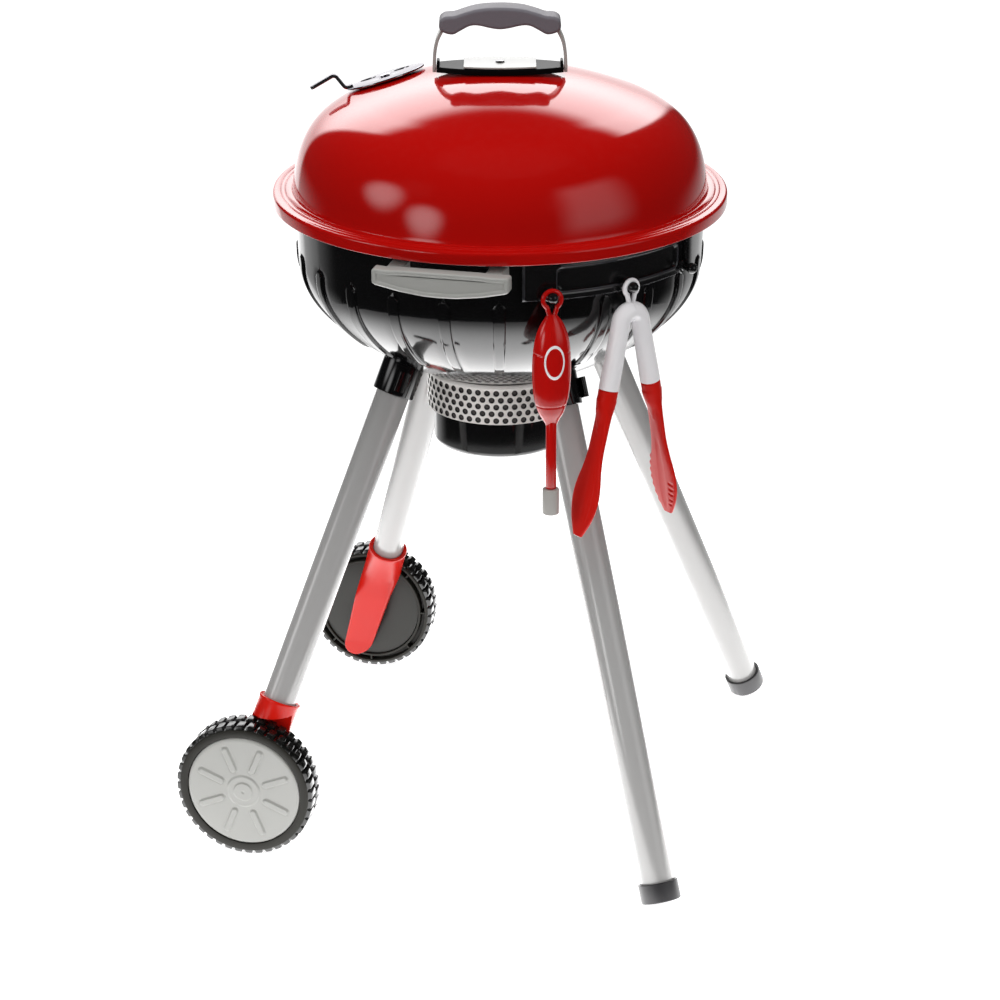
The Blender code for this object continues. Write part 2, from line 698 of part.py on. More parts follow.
def make_lid_shell(parent):
    outer = dome_outer()
    inner = offset_profile(outer, -LID_WALL)
    inner[0] = (0.0, DOME_HEIGHT - LID_WALL)
    flat = RIM_RADIUS - DOME_RADIUS - RIM_ROLL
    start = DOME_RADIUS + flat / 2
    rim = [(start, DOME_FOOT), (start + RIM_RIDGE_WIDTH / 2, DOME_FOOT + RIM_RIDGE),
           (start + RIM_RIDGE_WIDTH, DOME_FOOT)]
    roll = []
    for i in range(4):
        angle = math.pi / 2 * (1 - i / 3)
        inward = RIM_ROLL * (1 - math.cos(angle))
        roll.append((RIM_RADIUS - inward, DOME_FOOT - RIM_ROLL * (1 - math.sin(angle))))
    under = [(RIM_RADIUS, 0.0), (RIM_RADIUS - RIM_WALL, 0.0), (RIM_RADIUS - RIM_WALL, DOME_FOOT - RIM_WALL),
             (inner[-1][0], DOME_FOOT - RIM_WALL)]
    profile = outer + rim + roll + under + list(reversed(inner[:-1]))
    shell = place(turned("lid_shell", profile), RED_GLOSS, parent)
    holes = []
    for angle in DAMPER_HOLE_ANGLES:
        spot = polar(DAMPER_HOLE_OFFSET, angle)
        holes.append(move(rod("hole", LID_HOLE_RADIUS, -OVERRUN, OVERRUN, SMALL), spot))
    holes.append(rod("hole", RIVET_RADIUS + CLEARANCE, -OVERRUN, OVERRUN, SMALL))
    cutter = merged("lid_vent_holes", holes)
    cutter.parent = parent
    cutter.location, cutter.rotation_euler = damper_frame()
    return cut(shell, cutter)


def damper_frame():
    """Place and turn of the damper, in the lid's frame, on the dome's crown."""
    drop = CROWN_CURVE - math.sqrt(CROWN_CURVE ** 2 - DAMPER_REACH ** 2)
    lean = math.asin(DAMPER_REACH / CROWN_CURVE)
    spot = polar(DAMPER_REACH, DAMPER_AZIMUTH, DOME_HEIGHT - drop)
    aim = Matrix.Rotation(DAMPER_AZIMUTH, 3, "Z") @ Matrix.Rotation(lean, 3, "Y")
    return spot, (aim @ Matrix.Rotation(DAMPER_TURN, 3, "Z")).to_euler()


def make_lid_handle(parent):
    """Grip, straps, base, centre plate and screw on the top of the dome."""
    half = GRIP_LENGTH / 2
    grip_low = DOME_HEIGHT + HANDLE_HEIGHT - GRIP_HEIGHT
    outline = mirrored_outline(GRIP_SHARES, half, GRIP_HEIGHT)
    grip = flat_outline("lid_grip", [outline], GRIP_DEPTH, smooth=True)
    move(grip, rotation=(math.pi / 2, 0.0, 0.0))
    move(grip, location=(0.0, 0.0, grip_low))
    add_bevel(place(grip, GRIP_GREY, parent), GRIP_EDGE, 2)

    base_low = DOME_HEIGHT + CLEARANCE
    base = base_plate("lid_handle_base", BASE_LENGTH, base_low, base_low + BASE_THICKNESS)
    place(base, BLACK_GLOSS, parent)
    for side in (-1, 1):
        lip = box("base_lip", (BASE_LIP_WIDTH, BASE_END_DEPTH, BASE_THICKNESS + BASE_LIP),
                  (side * (BASE_LENGTH - BASE_LIP_WIDTH) / 2, 0.0, base_low + (BASE_THICKNESS + BASE_LIP) / 2))
        lip.parent = parent
        join(base, lip)

    strap_low = base_low - CLEARANCE
    strap_high = grip_low + STRAP_INSET
    for side, name in ((-1, "lid_strap_left"), (1, "lid_strap_right")):
        place(make_strap(name, side, strap_low, strap_high), CHROME, parent)
        pocket = make_strap("strap_pocket", side, strap_low, strap_high + CLEARANCE, CLEARANCE)
        pocket.parent = parent
        cut(grip, pocket)

    plate_low = base_low + BASE_THICKNESS + CLEARANCE
    plate = base_plate("lid_handle_plate", PLATE_LENGTH, plate_low, plate_low + PLATE_THICKNESS, PLATE_MARGIN)
    place(plate, SILVER_PLASTIC, parent)
    screw_low = plate_low + PLATE_THICKNESS + CLEARANCE
    screw = rod("lid_handle_screw", SCREW_RADIUS, screw_low, screw_low + SCREW_HEIGHT, SMALL)
    place(screw, CHROME, parent)


def base_plate(name, length, low, high, margin=0.0):
    """A plate on the dome's crown, wide in the middle and narrow at its ends."""
    steps = 8
    front = []
    for i in range(steps + 1):
        share = 2 * i / steps - 1
        x = share * length / 2
        bulge = BASE_END_DEPTH + (BASE_DEPTH - BASE_END_DEPTH) * (1 - (2 * x / BASE_LENGTH) ** 2)
        front.append((x, bulge / 2 - margin))
    outline = front + [(x, -y) for x, y in reversed(front)]
    plate = flat_outline(name, [outline], high - low)
    return move(plate, location=(0.0, 0.0, (low + high) / 2))


def make_strap(name, side, low, high, grow=0.0):
    """A thin band that bows outward from the base up to the grip."""
    sections = []
    start = BASE_LENGTH / 2 + CLEARANCE + STRAP_THICKNESS / 2
    end = GRIP_LENGTH / 2 - STRAP_THICKNESS
    wide, thick = STRAP_WIDTH / 2 + grow, STRAP_THICKNESS / 2 + grow
    for height, out in STRAP_SHARES:
        x = side * (end + (start - end) * out)
        z = low + (high - low) * height
        left, right = x - thick, x + thick
        sections.append([(left, -wide, z), (right, -wide, z), (right, wide, z), (left, wide, z)])
    return loft(name, sections)


# Damper

def make_damper(parent):
    """Disc with two holes, bent tab and the rivet that holds it."""
    spot, turn = damper_frame()
    hinge = make_empty("damper_axis", spot, turn, parent)
    low = CLEARANCE
    disc = rod("damper_disc", DAMPER_RADIUS, low, low + DAMPER_THICKNESS, FINE)
    place(disc, CHROME, hinge)
    holes = [move(rod("hole", DAMPER_HOLE_RADIUS, -OVERRUN, OVERRUN, SMALL), polar(DAMPER_HOLE_OFFSET, a))
             for a in DAMPER_HOLE_ANGLES]
    holes.append(rod("hole", RIVET_RADIUS + CLEARANCE, -OVERRUN, OVERRUN, SMALL))
    cutter = merged("damper_holes", holes)
    cutter.parent = hinge
    cut(disc, cutter)
    tab = make_tab("damper_tab_shape", low)
    tab.parent = hinge
    join(disc, tab)

    head_low = low + DAMPER_THICKNESS + CLEARANCE
    clench = -LID_WALL - RIVET_PLAY
    head_top = head_low + RIVET_HEAD_HEIGHT
    tail = clench - RIVET_HEAD_HEIGHT
    profile = [(0.0, head_top), (RIVET_HEAD_RADIUS / 2, head_top), (RIVET_HEAD_RADIUS, head_low),
               (RIVET_RADIUS, head_low), (RIVET_RADIUS, clench), (RIVET_HEAD_RADIUS, clench),
               (RIVET_HEAD_RADIUS, tail), (0.0, tail)]
    place(turned("damper_rivet", profile, SMALL), CHROME, hinge)
    return hinge


def make_tab(name, low):
    """The bent strip that turns the damper: up from the disc's edge, then out."""
    root = DAMPER_RADIUS - TAB_WIDTH / 2
    line = [(root, low + TAB_THICKNESS / 2), (DAMPER_RADIUS, low + TAB_THICKNESS / 2),
            (DAMPER_RADIUS + TAB_LEAN - TAB_BEND / 4, low + TAB_RISE - TAB_BEND),
            (DAMPER_RADIUS + TAB_LEAN + TAB_BEND, low + TAB_RISE),
            (DAMPER_RADIUS + TAB_LEAN + TAB_REACH, low + TAB_RISE - TAB_DROP)]
    upper = offset_profile(line, TAB_THICKNESS / 2)
    lower = offset_profile(line, -TAB_THICKNESS / 2)
    loop = upper + list(reversed(lower))
    return loft(name, [[(x, y, z) for x, z in loop] for y in (-TAB_WIDTH / 2, TAB_WIDTH / 2)])


# Front handle

def make_front_handle(parent):
    half = FRONT_HANDLE_LENGTH / 2
    top = RIM_HEIGHT - FRONT_HANDLE_DROP
    outline = mirrored_outline(FRONT_HANDLE_SHARES, half, FRONT_HANDLE_HEIGHT)
    handle = flat_outline("front_handle", [outline], FRONT_HANDLE_DEPTH)
    move(handle, rotation=(math.pi / 2, 0.0, 0.0))
    middle = FRONT_HANDLE_REACH - FRONT_HANDLE_DEPTH / 2
    move(handle, location=(0.0, -middle, top - FRONT_HANDLE_HEIGHT))
    place(handle, SILVER_PLASTIC, parent)
    add_bevel(handle, FRONT_HANDLE_EDGE, 2)
    across = 1 - FRONT_HANDLE_FRAME / half
    upright = 1 - 2 * FRONT_HANDLE_FRAME / FRONT_HANDLE_HEIGHT
    inner = [(x * across, FRONT_HANDLE_FRAME + y * upright) for x, y in outline]
    recess = flat_outline("front_handle_recess", [inner], 2 * FRONT_HANDLE_RECESS)
    move(recess, rotation=(math.pi / 2, 0.0, 0.0))
    move(recess, location=(0.0, -FRONT_HANDLE_REACH, top - FRONT_HANDLE_HEIGHT))
    recess.parent = parent
    cut(handle, recess)
    back = FRONT_HANDLE_REACH - FRONT_HANDLE_DEPTH
    for side in (-1, 1):
        inside = BOWL_RADIUS - OVERRUN
        depth = back + FRONT_HANDLE_DEPTH / 2 - inside
        post = box("handle_post", (POST_WIDTH, depth, POST_HEIGHT),
                   (side * POST_SPACING / 2, -(inside + depth / 2), top - FRONT_HANDLE_EDGE - POST_HEIGHT / 2),
                   FRONT_HANDLE_EDGE, 1)
        post.parent = parent
        join(handle, post)
    cut(handle, bowl_clearance_cutter(parent, "front_handle_seat"))
    return handle


# Tool rack

def arc_block(name, inner, outer, low, high, middle, angle, steps=10):
    """A block bent round the bowl's axis."""
    sections = []
    for i in range(steps + 1):
        a = middle + angle * (i / steps - 0.5)
        corners = ((inner, low), (outer, low), (outer, high), (inner, high))
        sections.append([polar(radius, a, z) for radius, z in corners])
    return loft(name, sections)


def peg_angle(index):
    return RACK_AZIMUTH + (index - (PEG_COUNT - 1) / 2) * PEG_SPACING


def make_tool_rack(parent):
    high = RIM_HEIGHT - RACK_TOP_DROP
    low = high - RACK_HEIGHT
    inner = BOWL_RADIUS - BOWL_WALL
    rack = arc_block("tool_rack", inner, RACK_RADIUS, low, high, RACK_AZIMUTH, RACK_ANGLE)
    place(rack, BLACK_GLOSS, parent)
    add_bevel(rack, RACK_EDGE, 2, math.radians(60))
    panel_high = high - PANEL_TOP_DROP
    panel = arc_block("rack_panel", RACK_RADIUS - PANEL_RECESS, RACK_RADIUS + OVERRUN,
                      panel_high - PANEL_HEIGHT, panel_high, RACK_AZIMUTH, PANEL_ANGLE)
    panel.parent = parent
    cut(rack, panel)
    clip = box("rack_clip", (CLIP_DEPTH * 2, CLIP_WIDTH, RACK_HEIGHT - PANEL_TOP_DROP),
               (RACK_RADIUS, 0.0, (low + high) / 2), RACK_EDGE, 1)
    clip.parent = parent
    clip.rotation_euler = (0.0, 0.0, RACK_AZIMUTH + CLIP_ANGLE)
    join(rack, clip)
    for i in range(PEG_COUNT):
        peg = make_peg()
        peg.parent = parent
        peg.location = (0.0, 0.0, PEG_HEIGHT)
        peg.rotation_euler = (0.0, math.pi / 2, peg_angle(i))
        join(rack, peg)
    return cut(rack, bowl_clearance_cutter(parent, "rack_seat"))


def make_peg():
    """A peg along +Z with a boss at its root and a bulb at its end."""
    start = RACK_RADIUS - PANEL_RECESS
    boss_end = RACK_RADIUS + PEG_BOSS_LENGTH
    neck_end = boss_end + PEG_LENGTH
    centre = neck_end + PEG_BULB_RADIUS * math.cos(math.asin(PEG_RADIUS / PEG_BULB_RADIUS))
    profile = []
    steps = 6
    last = math.pi - math.asin(PEG_RADIUS / PEG_BULB_RADIUS)
    for i in range(steps + 1):
        a = last * i / steps
        profile.append((PEG_BULB_RADIUS * math.sin(a), centre + PEG_BULB_RADIUS * math.cos(a)))
    profile += [(PEG_RADIUS, boss_end), (PEG_BOSS_RADIUS, boss_end), (PEG_BOSS_RADIUS, start), (0.0, start)]
    return as_mesh(turned("peg", profile, TINY))


# Legs

def leg_frame(name, azimuth, parent):
    """An empty on a leg's centre line, with local Z up along the tube."""
    spot = polar(SOCKET_OFFSET, azimuth, SOCKET_HEIGHT)
    return make_empty(name, spot, (0.0, -LEG_SPLAY, azimuth), parent)


def distance_down(height):
    """How far below the leg frame its centre line passes a height."""
    return (SOCKET_HEIGHT - height) / math.cos(LEG_SPLAY)


def make_leg(position, azimuth, wheel, kettle):
    frame = leg_frame("leg_frame_" + position, azimuth, kettle)
    socket = rod("leg_socket_" + position, SOCKET_RADIUS, -SOCKET_LENGTH, OVERRUN * 2, MEDIUM)
    place(socket, BLACK_GLOSS, frame)
    tab = box("socket_tab", (SOCKET_TAB_WIDTH, SOCKET_TAB, SOCKET_LENGTH),
              (SOCKET_RADIUS / 2, SOCKET_RADIUS, -SOCKET_TAB_DROP))
    tab.parent = frame
    join(socket, tab)
    tube_top = -SOCKET_LENGTH + TUBE_INSERT
    bore = rod("socket_bore", TUBE_RADIUS + CLEARANCE, -SOCKET_LENGTH - OVERRUN, OVERRUN * 3, MEDIUM)
    bore.parent = frame
    cut(socket, bore)
    cut(socket, bowl_clearance_cutter(kettle, "socket_seat"))

    if wheel:
        tube_bottom = -distance_down(BRACKET_MOUTH) - COLLAR_INSERT
    else:
        tube_bottom = -distance_down(FOOT_CENTRE_HEIGHT) + FOOT_FLOOR + CLEARANCE
    ring = [(TUBE_RADIUS, tube_top), (TUBE_RADIUS, tube_bottom), (TUBE_RADIUS - TUBE_WALL, tube_bottom),
            (TUBE_RADIUS - TUBE_WALL, tube_top)]
    tube = place(turned("leg_tube_" + position, ring, MEDIUM, ring=True), LEG_SILVER, frame)
    cut(tube, bowl_clearance_cutter(kettle, "tube_seat"))
    if wheel:
        cut(tube, wheel_side_block("tube_mitre", azimuth, COLLAR_WALL + CLEARANCE, kettle))
        make_bracket(position, azimuth, frame, kettle)
    else:
        make_foot(position, frame, kettle)
    return frame


def make_foot(position, frame, kettle):
    """Rubber cap, cut square to the tube, with the small flat it stands on."""
    bottom = -distance_down(FOOT_CENTRE_HEIGHT)
    top = bottom + FOOT_LENGTH
    cap = place(rod("foot_cap_" + position, FOOT_RADIUS, bottom, top, MEDIUM), DARK_RUBBER, frame)
    bore = rod("foot_bore", TUBE_RADIUS + CLEARANCE, bottom + FOOT_FLOOR, top + OVERRUN, MEDIUM)
    bore.parent = frame
    cut(cap, bore)
    reach = 2 * FOOT_REACH + OVERRUN
    floor = box("floor_cutter", (reach, reach, OVERRUN), (0.0, 0.0, -OVERRUN / 2))
    floor.parent = kettle
    return cut(cap, floor)


def make_bracket(position, azimuth, frame, kettle):
    """Collar round the tube's end that runs down into a tongue beside the wheel."""
    out = 1 if math.sin(azimuth) > 0 else -1
    mouth = -distance_down(BRACKET_MOUTH)
    collar_end = mouth - COLLAR_INSERT - TUBE_WALL - CLEARANCE
    face = WHEEL_Y - WHEEL_WIDTH / 2 - BRACKET_GAP
    slope = LEG_SLOPE * math.cos(azimuth)
    high = SOCKET_HEIGHT - (-collar_end - COLLAR_RADIUS / 2) * math.cos(LEG_SPLAY)
    sections = []
    steps = 6
    round_top = TONGUE_END_HEIGHT + TONGUE_END_WIDTH / 2
    for i in range(steps + 1):
        share = i / steps
        width = TONGUE_END_WIDTH + (TONGUE_TOP_WIDTH - TONGUE_END_WIDTH) * share
        sections.append(tongue_section(round_top + (high - round_top) * share, share, face, out, slope, width))
    round_steps = 4
    for i in range(1, round_steps + 1):
        a = math.pi / 2 * i / round_steps
        z = round_top - TONGUE_END_WIDTH / 2 * math.sin(a)
        width = max(TONGUE_END_WIDTH * math.cos(a), TONGUE_EDGE)
        sections.insert(0, tongue_section(z, 0.0, face, out, slope, width))
    bracket = place(loft("wheel_bracket_" + position, sections), RED_GLOSS, kettle)
    collar = rod("collar", COLLAR_RADIUS, collar_end - COLLAR_RADIUS, mouth, MEDIUM)
    collar.parent = frame
    join(bracket, collar)
    cut(bracket, wheel_side_block("wheel_side", azimuth, 0.0, kettle))
    bore_end = mouth - COLLAR_INSERT - CLEARANCE
    bore = rod("collar_bore", TUBE_RADIUS + CLEARANCE, bore_end, mouth + OVERRUN, MEDIUM)
    bore.parent = frame
    cut(bore, wheel_side_block("bore_end", azimuth, COLLAR_WALL, kettle))
    cut(bracket, bore)
    hole = rod("axle_hole", HUB_BORE, face - TONGUE_TOP_THICKNESS / 2, face + OVERRUN, SMALL)
    hole.parent = kettle
    hole.location = (-WHEEL_X, 0.0, WHEEL_RADIUS)
    hole.rotation_euler = (-out * math.pi / 2, 0.0, 0.0)
    cut(bracket, hole)
    return bracket


def wheel_side_block(name, azimuth, inset, kettle):
    """A block in the wheel's place that reaches past it by the running gap and the inset."""
    out = 1 if math.sin(azimuth) > 0 else -1
    near = WHEEL_Y - WHEEL_WIDTH / 2 - BRACKET_GAP - inset
    top = 2 * WHEEL_RADIUS + BRACKET_GAP + inset
    wide = WHEEL_WIDTH + OVERRUN
    tall = top + OVERRUN
    block = box(name, (2 * WHEEL_X, wide, tall), (-WHEEL_X, out * (near + wide / 2), top - tall / 2))
    block.parent = kettle
    return block


def tongue_section(z, share, face, out, slope, width):
    """A slice across the tongue at one height; it grows thicker upward."""
    drop = SOCKET_HEIGHT - z
    centre = SOCKET_OFFSET * -math.cos(LEG_AZIMUTH) + slope * drop
    thick = TONGUE_END_THICKNESS + (TONGUE_TOP_THICKNESS - TONGUE_END_THICKNESS) * share
    back = out * (face + TONGUE_EDGE)
    front = out * (face - thick)
    soft = out * (face - thick + TONGUE_EDGE)
    inset = min(TONGUE_EDGE, width / 4)
    left, right = centre - width / 2, centre + width / 2
    return [(left, back, z), (right, back, z), (right, soft, z),
            (right - inset, front, z), (left + inset, front, z), (left, soft, z)]


# Wheels

def gear_outline(outer, inner, count, turn):
    """A toothed outline: flat tops with V grooves between them."""
    points = []
    pitch = math.tau / count
    for i in range(count):
        base = turn + i * pitch
        for share, radius in zip(LUG_SHARES, (outer, outer, inner)):
            points.append(tuple(polar(radius, base + share * pitch)[:2]))
    return points


def circle_outline(radius, count):
    return [tuple(polar(radius, math.tau * i / count)[:2]) for i in range(count)]


def make_wheel(position, out, kettle):
    """Tyre, hubcap and back disc about an axle along Y; local +Z points outward."""
    spot = (-WHEEL_X, out * WHEEL_Y, WHEEL_RADIUS)
    axis = make_empty("wheel_axis_" + position, spot, (-out * math.pi / 2, 0.0, 0.0), kettle)
    face, back = WHEEL_WIDTH / 2, -WHEEL_WIDTH / 2
    seat = face - HUBCAP_DEPTH
    web = seat - WEB_THICKNESS
    recess = back + RING_RECESS
    profile = [(TREAD_BASE, face - SIDE_CHAMFER), (TREAD_BASE, back + SIDE_CHAMFER),
               (TREAD_BASE - SIDE_CHAMFER, back), (RING_OUTER, back), (RING_OUTER, recess),
               (HUBCAP_RADIUS, recess), (HUBCAP_RADIUS, back), (RING_INNER, back), (RING_INNER, web),
               (HUB_RADIUS, web), (HUB_RADIUS, back + BACK_DISC_DROP), (HUB_BORE, back + BACK_DISC_DROP),
               (HUB_BORE, seat), (HUBCAP_RADIUS, seat), (HUBCAP_RADIUS, face),
               (TREAD_BASE - SIDE_CHAMFER, face)]
    tyre = place(turned("tyre_" + position, profile, LUG_COUNT, ring=True), TYRE_BLACK, axis)
    for side in (-1, 1):
        turn = side * math.pi / LUG_COUNT / 2
        outline = gear_outline(WHEEL_RADIUS, TREAD_BASE + LUG_HEIGHT / 6, LUG_COUNT, turn)
        inside = circle_outline(RING_OUTER + TREAD_WALL / 2, LUG_COUNT // 2)
        row = flat_outline("lug_row", [outline, inside], LUG_ROW_WIDTH)
        move(row, location=(0.0, 0.0, side * (LUG_ROW_WIDTH + LUG_ROW_GAP) / 2))
        row.parent = axis
        join(tyre, row)
    ribs = []
    rib_in = HUBCAP_RADIUS - RING_WALL / 2
    rib_out = RING_OUTER + TREAD_WALL / 2
    rib_middle = ((rib_in + rib_out) / 2, 0.0, recess - RING_RECESS / 2 + SIDE_CHAMFER)
    for i in range(RING_RIBS):
        rib = box("ring_rib", (rib_out - rib_in, RING_RIB_WIDTH, RING_RECESS), rib_middle)
        ribs.append(move(rib, rotation=(0.0, 0.0, math.tau * i / RING_RIBS)))
    ribs = merged("ring_ribs", ribs)
    ribs.parent = axis
    join(tyre, ribs)

    make_hubcap(position, axis, seat + CLEARANCE, face)
    disc_high = back + BACK_DISC_DROP + BACK_DISC_THICKNESS
    ring = [(RING_INNER - CLEARANCE, disc_high), (RING_INNER - CLEARANCE, disc_high - BACK_DISC_THICKNESS),
            (BACK_DISC_BORE, disc_high - BACK_DISC_THICKNESS), (BACK_DISC_BORE, disc_high)]
    place(turned("wheel_back_disc_" + position, ring, LUG_COUNT, ring=True), DARK_GREY, axis)

    shank_low = back - BRACKET_GAP - TONGUE_END_THICKNESS
    head_low = seat + CLEARANCE
    head_top = head_low + AXLE_HEAD_THICKNESS
    profile = [(0.0, head_top), (AXLE_HEAD_RADIUS, head_top), (AXLE_HEAD_RADIUS, head_low),
               (AXLE_RADIUS, head_low), (AXLE_RADIUS, shank_low), (0.0, shank_low)]
    place(turned("axle_" + position, profile, SMALL), CHROME, axis)
    return axis


def make_hubcap(position, axis, low, face):
    """Silver cover with raised oblong spokes and a stepped centre boss."""
    radius = HUBCAP_RADIUS - CLEARANCE
    under = low + AXLE_HEAD_THICKNESS + CLEARANCE
    profile = [(0.0, face + BOSS_HEIGHT), (BOSS_RING_RADIUS, face + BOSS_HEIGHT),
               (BOSS_RING_RADIUS + SPOKE_HEIGHT, face + BOSS_HEIGHT - SPOKE_HEIGHT),
               (BOSS_RADIUS - SPOKE_HEIGHT, face + BOSS_HEIGHT - SPOKE_HEIGHT), (BOSS_RADIUS, face),
               (radius - HUBCAP_EDGE, face), (radius, face - HUBCAP_EDGE / 2), (radius, low),
               (AXLE_HEAD_RADIUS + CLEARANCE * 2, low), (AXLE_HEAD_RADIUS + CLEARANCE, under), (0.0, under)]
    hubcap = place(turned("hubcap_" + position, profile, LUG_COUNT), SILVER_PLASTIC, axis)
    spokes = []
    for i in range(SPOKE_COUNT):
        spoke = stadium("spoke", SPOKE_LENGTH, SPOKE_WIDTH, 2 * SPOKE_HEIGHT)
        move(spoke, location=(SPOKE_START + SPOKE_LENGTH / 2, 0.0, face))
        spokes.append(move(spoke, rotation=(0.0, 0.0, math.tau * (i + 0.5) / SPOKE_COUNT)))
    spokes = merged("spokes", spokes)
    spokes.parent = axis
    return join(hubcap, spokes)


def stadium(name, length, width, thickness):
    """A flat bar with round ends, along X."""
    points = []
    steps = 3
    for side in (1, -1):
        for i in range(steps + 1):
            across = math.cos(math.pi * i / steps) * width / 2
            along = (length - width) / 2 + math.sin(math.pi * i / steps) * width / 2
            points.append((side * along, side * across))
    return flat_outline(name, [points], thickness)


# Vent band and ash cup

def make_vent(parent):
    top = BOTTOM_HEIGHT - CLEARANCE
    low = top - BAND_HEIGHT
    lip_low = top - BAND_LIP_HEIGHT
    seat = low + CUP_INSERT + CLEARANCE
    ring = [(BAND_RADIUS + BAND_LIP, top), (BAND_RADIUS + BAND_LIP, lip_low), (BAND_RADIUS, lip_low),
            (BAND_RADIUS, low), (CUP_RADIUS + CLEARANCE, low), (CUP_RADIUS + CLEARANCE, seat),
            (BAND_RADIUS - BAND_WALL, seat), (BAND_RADIUS - BAND_WALL, top)]
    place(turned("vent_band", ring, FINE, ring=True), CHROME, parent)
    cup_top = low + CUP_INSERT
    cup_low = cup_top - CUP_INSERT - CUP_HEIGHT
    steps = 4
    corner = []
    for i in range(steps + 1):
        a = math.pi / 2 * i / steps
        inward = CUP_EDGE * (1 - math.cos(a))
        corner.append((CUP_RADIUS - inward, cup_low + CUP_EDGE * (1 - math.sin(a))))
    bore = CUP_RADIUS - CUP_WALL
    profile = [(0.0, cup_low + CUP_WALL), (CUP_RADIUS - CUP_EDGE, cup_low + CUP_WALL),
               (bore, cup_low + CUP_EDGE), (bore, cup_top), (CUP_RADIUS, cup_top)]
    place(turned("ash_cup", profile + corner + [(0.0, cup_low)], FINE), BLACK_GLOSS, parent)


# Cooking grate and coal bed

def make_grate(kettle):
    low = RIM_HEIGHT - LEDGE_DROP + CLEARANCE
    axis = make_empty("grate_axis", (0.0, 0.0, low), parent=kettle)
    radius = BOWL_RADIUS - BOWL_WALL - 2 * CLEARANCE
    grate = place(rod("cooking_grate", radius, 0.0, GRATE_THICKNESS, FINE), GRATE_GREY, axis)
    reach = radius - GRATE_BORDER - LEDGE_WIDTH
    pitch = GRATE_BAR + GRATE_SLOT
    count = int(2 * reach / pitch)
    slots = []
    for i in range(count):
        y = (i - (count - 1) / 2) * pitch
        edge = abs(y) + GRATE_SLOT / 2
        length = 2 * math.sqrt(reach ** 2 - edge ** 2)
        slots.append(box("slot", (length, GRATE_SLOT, OVERRUN), (0.0, y, 0.0)))
    cutter = merged("grate_slots", slots)
    cutter.parent = axis
    return cut(grate, cutter)


def make_coal_bed(kettle):
    """A moulded tray of coals, nested in the bowl's curve."""
    inner = offset_profile(bowl_inner(), -CLEARANCE)
    top = RIM_HEIGHT - COAL_DROP
    low = top - COAL_THICKNESS
    side = [(radius_at(inner, top), top)] + [p for p in inner if low < p[1] < top]
    side.append((radius_at(inner, low), low))
    tray = place(turned("coal_bed", [(0.0, top)] + side + [(0.0, low)]), COAL_BLACK, kettle)
    reach = radius_at(inner, top) * COAL_SPREAD_SHARE - COAL_SIZE / 2
    coals = []
    for i in range(COAL_COUNT):
        spread = math.sqrt((i + 0.5) / COAL_COUNT)
        spot = polar(reach * spread, i * COAL_TURN, top)
        bm = bmesh.new()
        bmesh.ops.create_icosphere(bm, subdivisions=1, radius=COAL_SIZE)
        bmesh.ops.scale(bm, vec=(1.0, COAL_WIDTH_SHARE, COAL_FLAT_SHARE), verts=bm.verts)
        coal = bpy.data.objects.new("coal", mesh_from_bmesh("coal", bm))
        move(coal, rotation=(i * COAL_TURN, i * COAL_TURN / 2, i * COAL_TURN / 3))
        coals.append(move(coal, location=spot))
    for coal in coals:
        coal.parent = kettle
        join(tray, coal)
    return tray


# Igniter

def tool_frame(name, angle, kettle):
    """An empty on a peg where a tool hangs, with local Y pointing at the bowl."""
    return make_empty(name, polar(TOOL_PLANE, angle, PEG_HEIGHT), (0.0, 0.0, angle + math.pi / 2), kettle)


